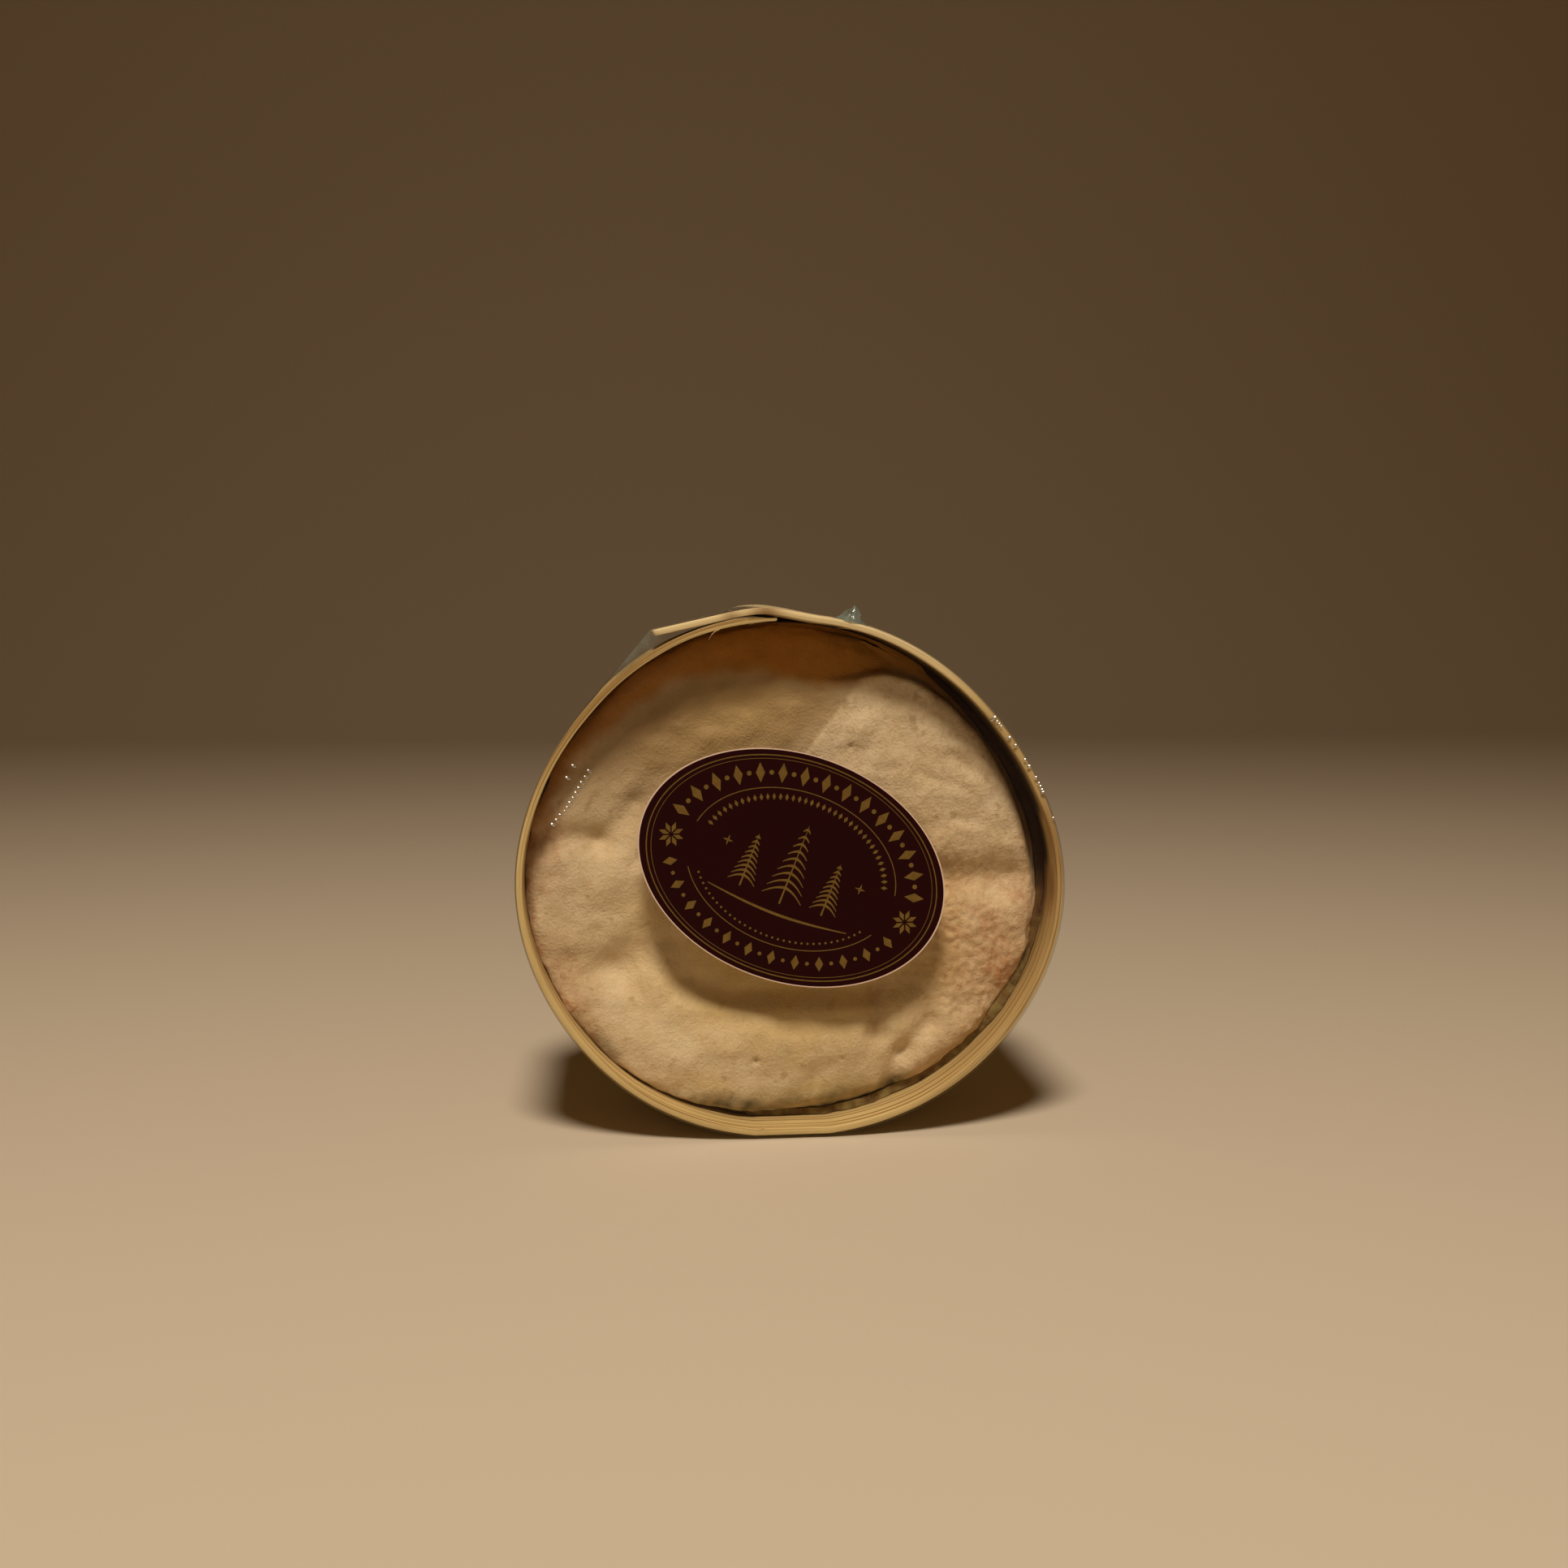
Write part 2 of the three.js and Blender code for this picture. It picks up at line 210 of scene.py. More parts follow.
def cut_along(piece, axis, cuts, longer_than):
    """Cuts every edge that runs along one axis into equal lengths, which adds loops across the piece."""
    def runs_along(edge):
        run = edge.verts[1].co - edge.verts[0].co
        return run.length > longer_than * MM and abs(run[axis]) > 0.999 * run.length

    select_where(piece, "EDGE", runs_along)
    bpy.ops.mesh.subdivide(number_cuts=cuts)


def flat_strip(name, length, width, thickness, eased, cuts_along, cuts_across):
    """A flat strip round the origin: x along it, y across it and z through it."""
    size = (length * MM, width * MM, thickness * MM)
    strip = start(name, bpy.ops.mesh.primitive_cube_add, size=1, scale=size)
    bpy.ops.object.mode_set(mode="EDIT")
    bpy.ops.mesh.select_all(action="SELECT")
    bpy.ops.mesh.bevel(offset=eased * MM, segments=2, affect="EDGES")
    for cuts in cuts_along:
        cut_along(strip, 0, cuts, 1.0)
    cut_along(strip, 1, cuts_across, 3.0)
    bpy.ops.object.mode_set(mode="OBJECT")
    return strip


def turned(name, profile, steps):
    """Draws a profile of (radius, depth) points by extruding a vertex, and spins it about the Y axis."""
    piece = start(name, bpy.ops.mesh.primitive_plane_add, size=MM)
    bpy.ops.object.mode_set(mode="EDIT")
    bpy.ops.mesh.select_mode(type="VERT")
    bpy.ops.mesh.select_all(action="SELECT")
    bpy.ops.mesh.merge(type="CENTER")
    bpy.ops.transform.translate(value=(profile[0][0] * MM, profile[0][1] * MM, 0))
    for (radius, depth), (next_radius, next_depth) in zip(profile, profile[1:]):
        step = ((next_radius - radius) * MM, (next_depth - depth) * MM, 0)
        bpy.ops.mesh.extrude_vertices_move(TRANSFORM_OT_translate={"value": step})
    bpy.ops.mesh.select_all(action="SELECT")
    bpy.ops.mesh.spin(steps=steps, angle=TURN, center=(0, 0, 0), axis=(0, 1, 0))
    bpy.ops.mesh.select_all(action="SELECT")
    bpy.ops.mesh.remove_doubles(threshold=0.001 * MM)
    bpy.ops.mesh.normals_make_consistent(inside=False)
    bpy.ops.object.mode_set(mode="OBJECT")
    return piece


def profile_through(*stops):
    """A profile through stops, each given as radius, depth and the steps to the next stop."""
    points = []
    for (radius, depth, count), (next_radius, next_depth, _) in zip(stops, stops[1:]):
        points += map(tuple, np.linspace((radius, depth), (next_radius, next_depth), count, endpoint=False))
    return points + [stops[-1][:2]]


def points_of(piece):
    points = np.empty(len(piece.data.vertices) * 3, np.float32)
    piece.data.vertices.foreach_get("co", points)
    return points.reshape(-1, 3).astype(float) / MM


def reshape(piece, place):
    """Moves every vertex by a rule that takes and gives an array of points."""
    moved = np.asarray(place(points_of(piece)), float) * MM
    piece.data.vertices.foreach_set("co", moved.astype(np.float32).ravel())
    piece.data.update()


def edit(piece, *steps):
    """Runs edit mode operators, given as (operator, settings), on all of one piece."""
    pick(piece)
    bpy.ops.object.mode_set(mode="EDIT")
    for operator, settings in steps:
        bpy.ops.mesh.select_all(action="SELECT")
        operator(**settings)
    bpy.ops.object.mode_set(mode="OBJECT")


def face_out(piece):
    edit(piece, (bpy.ops.mesh.normals_make_consistent, {"inside": False}))


def apply_modifier(piece, kind, **settings):
    pick(piece)
    modifier = piece.modifiers.new(kind.title(), kind)
    for name, value in settings.items():
        setattr(modifier, name, value)
    bpy.ops.object.modifier_apply(modifier=modifier.name)


def joined(name, parts):
    deselect()
    for part in parts:
        part.select_set(True)
    bpy.context.view_layer.objects.active = parts[0]
    bpy.ops.object.join()
    return name_it(name)


def dress(piece, material, nodes, crease=40):
    """Puts a finished piece on the wheel's axis, gives it its materials and hides the solids it stands for.
    """
    pick(piece)
    bpy.ops.object.shade_smooth_by_angle(angle=math.radians(crease))
    reshape(piece, lambda points: points + np.array(AXIS) / MM)
    for finish in material if isinstance(material, (list, tuple)) else [material]:
        piece.data.materials.append(finish)
    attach(piece, "root")
    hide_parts(*nodes)
    faces = sum(len(polygon.vertices) - 2 for polygon in piece.data.polygons)
    print(f"{piece.name}: {faces} triangles")


def rough(points, size, seed):
    """Smooth noise from -1 to 1 at each point, with features of about this size."""
    shift = Vector((seed * 17.3, seed * 5.1, seed * 9.7))
    return np.array([noise.noise(Vector(point) / size + shift) for point in points])


def wavering(run, size, aside=0.0):
    """The same along a strip, where a value to the side picks another line of the noise."""
    places = np.broadcast(run, aside)
    return np.array([noise.noise(Vector((place / size, line, 0))) for place, line in places])


# %% [markdown]
# Materials are node trees, and one function adds any node: it sets the node's own settings and then sets or
# links its inputs. Colours are written as the sRGB hex values seen on screen, and one function turns them
# into the linear values that the shaders work in.

# %% Material helpers


def paint(code):
    """An sRGB hex colour as linear red, green, blue and alpha."""
    shares = np.array([int(code[index:index + 2], 16) / 255 for index in (1, 3, 5)])
    linear = np.where(shares <= 0.04045, shares / 12.92, ((shares + 0.055) / 1.055) ** 2.4)
    return [*map(float, linear), 1.0]


def add(tree, kind, inputs=None, **settings):
    """Adds a node, with its settings and with values or links for its inputs."""
    made = tree.nodes.new(kind)
    for name, value in settings.items():
        setattr(made, name, value)
    for name, value in (inputs or {}).items():
        if isinstance(value, bpy.types.NodeSocket):
            tree.links.new(value, made.inputs[name])
        else:
            made.inputs[name].default_value = value
    return made


def new_material(name):
    material = bpy.data.materials.new(name)
    material.use_nodes = True
    material.node_tree.nodes.clear()
    return material, material.node_tree


def mark(piece, name, values):
    """Stores a number or a vector at every vertex, for a material to read."""
    values = np.asarray(values, np.float32)
    kind = "FLOAT_VECTOR" if values.ndim == 2 else "FLOAT"
    attribute = piece.data.attributes.new(name, kind, "POINT")
    attribute.data.foreach_set("vector" if values.ndim == 2 else "value", values.ravel())


# %% [markdown]
# The hoop is spruce, a pale softwood, sliced so thin that it bends cold. Its grain runs along the strip, as
# darker lines of late wood a millimetre or two apart, and it is waxy rather than glossy. Object coordinates
# would cut the grain off at every bend, so the flat strip's own coordinates are stored before it is bent, in
# millimetres, and the material stretches a noise along them. Age and whey have stained it in places, and
# near-black painted shade darkens its inside where the hoop's wall is in shade.

# %% Spruce
GRAIN_RUN = 90.0  # mm over which a line keeps its course
FIBRE_RUN, FIBRE = 9.0, 0.25  # fibres are drawn as coarse as they need to show


def spruce(name, light, late, spacing, line_strength, stain_amount):
    """Spruce with lines of late wood at this spacing in millimetres."""
    material, tree = new_material(name)
    grain = add(tree, "ShaderNodeAttribute", attribute_name="grain").outputs["Vector"]
    stretched = add(tree, "ShaderNodeMapping", {
        "Vector": grain, "Scale": (1 / GRAIN_RUN, 1 / spacing, 1 / spacing)}).outputs[0]
    lines = add(tree, "ShaderNodeTexNoise", {
        "Vector": stretched, "Scale": 1.0, "Detail": 3.0, "Roughness": 0.55,
        "Distortion": 0.3}).outputs["Fac"]
    drawn_out = add(tree, "ShaderNodeMapping", {
        "Vector": grain, "Scale": (1 / FIBRE_RUN, 1 / FIBRE, 1 / FIBRE)}).outputs[0]
    fibres = add(tree, "ShaderNodeTexNoise", {
        "Vector": drawn_out, "Scale": 1.0, "Detail": 2.0, "Roughness": 0.6}).outputs["Fac"]
    patches = add(tree, "ShaderNodeTexNoise", {
        "Vector": grain, "Scale": 1 / 26.0, "Detail": 4.0, "Roughness": 0.6}).outputs["Fac"]
    layers = []
    for pattern, starts, full, most, tone in (
            (lines, 0.5, 0.6, line_strength, late),
            (fibres, 0.35, 0.8, 0.28, "#a5864f"),
            (patches, 0.5, 0.85, stain_amount, "#94703a")):
        share = add(tree, "ShaderNodeMapRange", {
            "Value": pattern, "From Min": starts, "From Max": full, "To Max": most}).outputs[0]
        layers.append((share, tone))
    # Three layers: X is brown stain, Y is painted shade, near black, where the hoop's inner wall lies in
    # shade, and Z is paler wood.
    stains_and_shade = add(tree, "ShaderNodeAttribute", attribute_name="stains_and_shade").outputs["Vector"]
    stain_and_shade = add(tree, "ShaderNodeSeparateXYZ", {0: stains_and_shade}).outputs
    layers += [(stain_and_shade["Z"], "#f0dfb8"), (stain_and_shade["X"], "#7d4f1a"), (stain_and_shade["Y"], "#200a04")]
    wood = paint(light)
    for share, tone in layers:
        wood = add(tree, "ShaderNodeMix", {0: share, 6: wood, 7: paint(tone)}, data_type="RGBA").outputs[2]
    height = add(tree, "ShaderNodeMath", {0: fibres, 1: lines}, operation="ADD").outputs[0]
    bump = add(tree, "ShaderNodeBump", {"Height": height, "Strength": 0.5, "Distance": 0.00012}).outputs[0]
    shader = add(tree, "ShaderNodeBsdfPrincipled", {
        "Base Color": wood, "Roughness": 0.6, "Specular IOR Level": 0.35, "Normal": bump})
    add(tree, "ShaderNodeOutputMaterial", {"Surface": shader.outputs[0]})
    return material


bent_spruce = spruce("spruce, sliced and bent", "#d9bf86", "#8d6831", 1.1, 0.85, 0.28)
spruce_board = spruce("spruce board, planed", "#d8c08c", "#b08c52", 2.2, 0.5, 0.2)

# %% [markdown]
# The hoop could be an extruded outline, but a real one starts as a flat strip, and bending a strip also
# carries the grain round with it. The strip is as long as the path round the form: once round, over its own
# inner end, and straight on to a loose end that stands off at the top. It is bent by a table of path length
# against angle. A little unevenness is left in its thickness and its sawn edges, and the inner end is pared.

# %% The bent hoop
path = np.radians(np.arange(math.degrees(INNER_END), 360 + math.degrees(LOOSE_END) + 0.1, 0.2))
path = np.append(path[path < TURN + LOOSE_END], TURN + LOOSE_END)


def path_radius(angle):
    """Outer radius of the strip at an angle that goes on counting past a full turn."""
    within = np.mod(angle, TURN)
    overlapping = angle >= TURN + CLIMB_FROM
    return np.where(overlapping, outer_layer_radius(within), rim_radius(within))


middle = path_radius(path) - STRIP / 2
steps = np.hypot(np.diff(middle * np.cos(path)), np.diff(middle * np.sin(path)))
path_length = np.concatenate([[0.0], np.cumsum(steps)])
STRIP_LENGTH = path_length[-1]

UNEVEN, SAWN = 0.09, 0.12  # share of the thickness, and millimetres of the depth
hoop = flat_strip("hoop", STRIP_LENGTH, BOX_DEPTH, STRIP, 0.3, (31, 15), 9)
flat = points_of(hoop)
flat[:, 0] += STRIP_LENGTH / 2
mark(hoop, "grain", flat)


def bend_hoop(points):
    run = points[:, 0] + STRIP_LENGTH / 2
    angle = np.interp(run, path_length, path)
    inward = np.maximum(STRIP / 2 - points[:, 2], PARED * (1 - smoothstep(0, PARED_OVER, run)))
    radius = path_radius(angle) - inward * (1 + UNEVEN * wavering(run, 14))
    depth = points[:, 1] + SAWN * wavering(run, 9, 3.7) * np.sign(points[:, 1])
    return on_wheel(angle, radius, depth)


reshape(hoop, bend_hoop)
face_out(hoop)
print(f"a strip {STRIP_LENGTH:.0f} mm long and {BOX_DEPTH:.0f} mm wide went into the hoop")

# %% [markdown]
# Stains sit where the real strip has them. Whey has browned the inside next to the rind. From the right up
# to the top the inside is painted nearly black: that is painted shade, where the hoop's wall is in shade.
# The strip has aged on the right, with a few streaks on its inside. It is reddish at the edge where the ends
# overlap, and paler towards its loose end.

# %% Stains and painted shade on the hoop
STAINS = (  # place along the strip as an angle, reach in degrees, depth, reach across, strength
    (456.0, 3.2, -21.0, 3.0, 0.75),
    (463.5, 2.0, -21.0, 2.0, 0.5),
    (363.0, 8.0, -18.6, 1.0, 0.8),
    (356.0, 7.0, -16.6, 0.8, 0.85),
    (372.0, 10.0, -15.4, 0.7, 0.7),
    (364.0, 9.0, -21.0, 0.9, 0.55),
    (380.0, 14.0, -17.6, 0.8, 0.6),
    (204.0, 9.0, -19.6, 0.5, 0.35),
    (369.0, 13.0, -21.0, 1.4, 0.6),
)
# Where the inside is painted near black as painted shade: from these depths on, between these angles along
# the strip.
DARK_FROM = ((340, 358, 370, 382, 396, 436), (-8, -12, -16.5, -20.2, -20.9, -20.9))  # angle, depth
DARKENED = (344, 356, 436, 446)  # between these angles along the strip
AGED = (285, 318, 396, 410)
FRONT_EDGE = -20  # stains in front of this depth show on the outside too
BOARD_SIDE = 12  # behind this depth nothing is darkened
run_angle = np.degrees(np.interp(flat[:, 0], path_length, path))
inside = flat[:, 2] < 0
soaked = 0.35 * smoothstep(-16.5, -9.0, flat[:, 1]) * inside * (run_angle < 440)
for angle, reach, depth, across, strength in STAINS:
    here = bell((run_angle - angle) / reach) * bell((flat[:, 1] - depth) / across)
    soaked = np.maximum(soaked, strength * here * np.where(depth < FRONT_EDGE, 1, inside))
dark_from = np.interp(run_angle, *DARK_FROM)
soaked = np.maximum(soaked, 0.36 * window(run_angle, *AGED) * np.where(inside, 1.0, 0.5))
# Painted shade: from the right up to the top the inside is painted near black, where the hoop's wall is in
# shade.
darkened = window(run_angle, *DARKENED) * inside * (flat[:, 1] < BOARD_SIDE)
darkened = 0.93 * darkened * smoothstep(dark_from, dark_from + 1.6, flat[:, 1])
paled = 0.45 * smoothstep(396, 425, run_angle) * (1 - darkened)
mark(hoop, "stains_and_shade", np.column_stack([soaked, darkened, paled]))
dress(hoop, bent_spruce, ["box_hoop"])

# %% [markdown]
# Sliced spruce splits, so a few slivers stand off the inside, most of them at the top. Each is a thin cone,
# flattened and laid almost along the strip. One is modelled and copied, and each copy is bent into its place.

# %% Slivers
SLIVERS = (  # angle of the root, length, lean off the wall, depth
    (106.5, 3.4, 1.7, -20.6),
    (76.0, 4.6, 0.7, -20.4),
    (98.0, 2.2, 0.6, -20.0),
    (84.0, 2.8, 0.5, -19.0),
    (262.0, 1.6, 0.5, -20.7),
)
sliver = start("sliver", bpy.ops.mesh.primitive_cone_add,
               vertices=6, radius1=0.5 * MM, radius2=0.04 * MM, depth=MM)
edit(sliver, (bpy.ops.mesh.subdivide, {"number_cuts": 2}))
slivers = []
for index, (angle, length, lean, depth) in enumerate(SLIVERS):
    copy = copy_of(sliver)
    root = math.radians(angle)
    mark(copy, "grain", points_of(copy) * (1, 1, 12) + (40 * index, 0, 0))
    mark(copy, "stains_and_shade", np.zeros((len(copy.data.vertices), 3)))

    def lay(points):
        along = (points[:, 2] + 0.5) * length
        where = root + along / BOX_RADIUS
        radius = rim_radius(where, -STRIP) + 0.1 - lean * (along / length) ** 2 + 0.5 * points[:, 0]
        return on_wheel(where, radius, depth + 0.8 * points[:, 1])

    reshape(copy, lay)
    slivers.append(copy)
bpy.data.objects.remove(sliver)
splinters = joined("hoop_slivers", slivers)
face_out(splinters)
dress(splinters, bent_spruce, ["box_hoop"])

# %% [markdown]
# A thin round board closes the back. It is sawn from a plank, so its grain runs straight across, here at a
# slant. The disc is a many-sided cylinder with bevelled edges, pressed to the hoop's outline by scaling each
# direction.

# %% The board at the back
BOARD_THICK = 3.0
BOARD_BACK = BACK - 1.0
BOARD_FRONT = BOARD_BACK - BOARD_THICK
ACROSS_THE_GRAIN = np.array([[0.26, 0.97, 0], [0, 0, 1], [0.97, -0.26, 0]])
board = start("board", bpy.ops.mesh.primitive_cylinder_add,
              vertices=192, radius=MM, depth=BOARD_THICK * MM, rotation=(math.pi / 2, 0, 0))
edit(board, (bpy.ops.mesh.bevel, {"offset": 0.012 * MM, "segments": 2, "affect": "EDGES"}))


def fit_board(points):
    angle, share = about_axis(points)
    radius = share * (rim_radius(angle, -STRIP) - 0.25)
    return on_wheel(angle, radius, points[:, 1] + (BOARD_FRONT + BOARD_BACK) / 2)


reshape(board, fit_board)
apply_modifier(board, "TRIANGULATE", min_vertices=5)
mark(board, "grain", points_of(board) @ ACROSS_THE_GRAIN)
mark(board, "stains_and_shade", np.zeros((len(board.data.vertices), 3)))
dress(board, spruce_board, ["box_base"])

# %% [markdown]
# Between hoop and cheese lies a strap of spruce bark, which gives such cheeses their taste. It is dark,
# fibrous and torn along its edge, brown, and grey-green with mould towards the bottom. From the right over
# the top it is painted near black, as painted shade where the hoop shades it.
# It is made the way the hoop was, as a strip bent to the wall. Its torn edge is three waves and some noise.

# %% Bark
bark, tree = new_material("spruce bark, torn, with painted shade")
grain = add(tree, "ShaderNodeAttribute", attribute_name="grain").outputs["Vector"]
place = add(tree, "ShaderNodeMapping", {"Vector": grain, "Scale": (1 / 7.0, 1 / 0.8, 1 / 0.8)}).outputs[0]
fibres = add(tree, "ShaderNodeTexNoise", {
    "Vector": place, "Scale": 1.0, "Detail": 5.0, "Roughness": 0.65, "Distortion": 0.4}).outputs["Fac"]
flecks = add(tree, "ShaderNodeTexNoise", {
    "Vector": grain, "Scale": 1 / 3.0, "Detail": 3.0, "Roughness": 0.6}).outputs["Fac"]
fibrous = add(tree, "ShaderNodeMapRange", {"Value": fibres, "From Min": 0.35, "From Max": 0.7}).outputs[0]
mould = add(tree, "ShaderNodeAttribute", attribute_name="mould").outputs["Fac"]
mould_share = add(tree, "ShaderNodeMapRange", {"Value": flecks, "From Min": 0.3, "From Max": 0.62}).outputs[0]
mould_share = add(tree, "ShaderNodeMath", {0: mould_share, 1: mould}, operation="MULTIPLY").outputs[0]
# The damp mask is painted shade: from the right over the top the strap is painted near black, where the hoop
# shades it.
damp = add(tree, "ShaderNodeAttribute", attribute_name="damp").outputs["Fac"]
colour = paint("#3c200d")
for share, tone in ((fibrous, "#80572a"), (mould_share, "#8f7d4c"), (damp, "#2a0f05")):
    colour = add(tree, "ShaderNodeMix", {0: share, 6: colour, 7: paint(tone)}, data_type="RGBA").outputs[2]
bump = add(tree, "ShaderNodeBump", {"Height": fibres, "Strength": 0.9, "Distance": 0.0004}).outputs[0]
shader = add(tree, "ShaderNodeBsdfPrincipled", {
    "Base Color": colour, "Roughness": 0.85, "Specular IOR Level": 0.25, "Normal": bump})
add(tree, "ShaderNodeOutputMaterial", {"Surface": shader.outputs[0]})

# %% The bark strap
GAP = 1.45  # mean gap between hoop and cheese
LEAN = 1.25  # the cheese leans to the upper left, so the gap is widest on the lower right
LEAN_FROM = math.radians(332)
STRAP_RADIUS = 57.0
STRAP_WIDTH = 28.0
STRAP_SLACK = 0.7
STRAP_THINNEST = 0.9
STRAP_FRONT, STRAP_TUCKED, STRAP_BACK = -10.6, -6.4, BOARD_FRONT - 0.4
RAGGED = 0.45


def cheese_gap(angle):
    return GAP + LEAN * np.cos(angle - LEAN_FROM)


def wall_radius(angle):
    """Inner face of the hoop, or of its outer layer where that climbs."""
    within = np.mod(angle, TURN)
    climbing = (within > CLIMB_FROM) & (within < INNER_END)
    return np.where(climbing, outer_layer_radius(within) - STRIP, rim_radius(within, -STRIP))


def waist_radius(angle):
    thickness = np.maximum(STRAP_THINNEST, cheese_gap(angle) - STRAP_SLACK)
    return rim_radius(angle, -STRIP) - thickness - STRAP_SLACK


strap = flat_strip("strap", TURN * STRAP_RADIUS, STRAP_WIDTH, 1.0, 0.06, (31, 15), 11)
mark(strap, "grain", points_of(strap))


def wrap_strap(points):
    angle = points[:, 0] / STRAP_RADIUS + math.pi / 2
    across = points[:, 1] / STRAP_WIDTH + 0.5
    through = points[:, 2] + 0.5
    is_open = smoothstep(1.3, 2.0, cheese_gap(angle))
    torn = RAGGED * (np.cos(7 * angle + 1) + 0.7 * np.cos(17 * angle) + 0.5 * np.cos(29 * angle + 2))
    torn += 0.5 * wavering(angle * STRAP_RADIUS, 1.6, 1.3 * through)
    front = STRAP_TUCKED + (STRAP_FRONT + torn - STRAP_TUCKED) * is_open
    depth = front + (STRAP_BACK - front) * across
    inner = waist_radius(angle) + STRAP_SLACK / 2
    outer = wall_radius(angle) - 0.15
    buckled = 0.25 * wavering(angle * STRAP_RADIUS, 5, depth / 5)
    return on_wheel(angle, inner + (outer - inner) * through + buckled * (1 - through), depth)


reshape(strap, wrap_strap)
face_out(strap)
strap_angle = np.degrees(about_axis(points_of(strap))[0]) % 360
mark(strap, "mould", smoothstep(200, 250, strap_angle) * (1 - 0.7 * smoothstep(325, 352, strap_angle)))
from_right = (strap_angle + 180) % 360 - 180
# Painted shade: near black from the right over the top, where the hoop shades the strap.
mark(strap, "damp", 0.95 * smoothstep(-14, 6, from_right) * (from_right < 150))
dress(strap, bark, ["bark_strap"])

# %% [markdown]
# The cheese is soft, and slumped into folds and lobes against the film before it set. The wheel is turned
# first: a flat face, a rounded shoulder, a lip that swells over the strap and a plain back. Then its face is
# pressed into shape by a height rule made of named forms, each placed right of and above the axis, and the
# whole is pushed out to the hoop's outline. That keeps each lobe where it can be read and changed.

# %% Forms of the face
CHEESE_RECESS = 9.0  # how far the face lies behind the rim
LEVEL = FRONT + CHEESE_RECESS
LOBE_LINE = ((20.5, 49), (-3, 19))
LOBE_EDGE = {"height": 0.2, "soft": 0.6, "fade": 60, "ends": 9}
MOUNDS = (  # right, up, half axes, turn in degrees, height
    (-16, 40, 34, 20, 20, -1.2),  # upper left plateau
    (33, 22, 21, 17, -50, 1.0),  # upper right lobe
    (-41, 0, 9, 10, 10, 2.2),  # lobe on the left
    (-33, -25, 5, 12, -20, 0.3),  # ridge beside the hollow
    (-2, -40, 30, 10.5, 0, 3.2),  # bottom lobe
    (44, -19, 12, 12, -30, 0.9),  # lobe below the right hollow
    (37, -42, 12, 8, 40, 0.9),  # low right slope
)
HOLLOW = {"at": (1.5, -9), "half": (30, 21.5), "square": 5, "depth": 3.1, "soft": 0.13}  # under the label
BROWN_RING = (  # angle in degrees, radius where the brown of the upper rim begins
    (-10, 58), (0, 56.9), (15, 55.6), (30, 54.8), (45, 54.1), (56, 53.1), (65, 51), (72, 47), (81, 44.2),
    (93, 46.2), (105, 48.5), (113, 50), (120, 51.6), (135, 52.6), (145, 54), (152, 56), (165, 58.3),
    (180, 60),
)
MOAT = {"depth": 3.6, "soft": 1.3, "angles": (-8, 12, 60, 84)}  # there the face falls away in a step
BRIM = {"from": 44, "to": 54, "height": 1.4, "angles": (140, 165, 262, 290)}  # pressed up on the left
CREASES = (  # from, to, width, depth
    ((-58, 9.3), (-44, 7.8), 2.8, 1.7),
    ((-44, 7.8), (-36, 16), 3.2, 1.5),
    ((-27, -12), (-40, -22.5), 5.6, 1.8),
    ((-40, -22.5), (-52, -20), 4.0, 1.2),
    ((28, -2.6), (52, -2), 4.6, 2.7),
    ((20.5, -24), (20, -38), 2.3, 1.7),
    ((33, -36.5), (26.8, -43), 2.4, 1.4),
    ((26.8, -43), (23.3, -51.5), 2.4, 1.4),
    ((38, 27), (46, 22), 1.6, 0.5),  # fine slanting creases of the upper right lobe
    ((30, 23), (41, 19), 1.4, 0.4),
    ((40, 12), (51, 9), 1.6, 0.4),
)
PITS = (  # right, up, radius, depth
    (-8.2, -44.1, 0.7, 0.9), (-57.2, 5.2, 0.8, 0.8), (-26.0, 35.8, 0.8, 0.5), (-30.5, 33.0, 0.6, 0.4),
    (14.0, 29.3, 0.6, 0.5), (7.2, 42.1, 0.7, 0.5), (-22.0, 39.5, 0.5, 0.4), (12.0, -44.0, 0.5, 0.5),
    (36.0, -30.0, 0.6, 0.5), (44.0, 4.0, 0.5, 0.4),
)


def beside_line(right, up, start, end):
    """How far points lie to the left of a stretch of line, beyond its ends, and from it."""
    along = np.subtract(end, start)
    length = np.hypot(*along)
    run = ((right - start[0]) * along[0] + (up - start[1]) * along[1]) / length
    side = ((up - start[1]) * along[0] - (right - start[0]) * along[1]) / length
    beyond = np.maximum(0, np.maximum(-run, run - length))
    return side, beyond, np.hypot(side, beyond)


def mound(right, up, at_right, at_up, half_one, half_two, turn, height):
    """A smooth rise on an oval, which is turned by an angle in degrees."""
    along, across = swung(right - at_right, up - at_up, -math.radians(turn))
    return height * bell(np.hypot(along / half_one, across / half_two))


def soft_wrinkles(right, up):
    total = 0
    for index, wavelength in enumerate((17, 11, 7.5)):
        across, along = swung(right, up, -(1.1 + 2.3 * index))
        across, along = TURN * across / wavelength, TURN * along / (1.7 * wavelength)
        total = total + 0.3 / (index + 1) * np.sin(across + 1.5 * np.sin(along)) * np.cos(along + index)
    return total


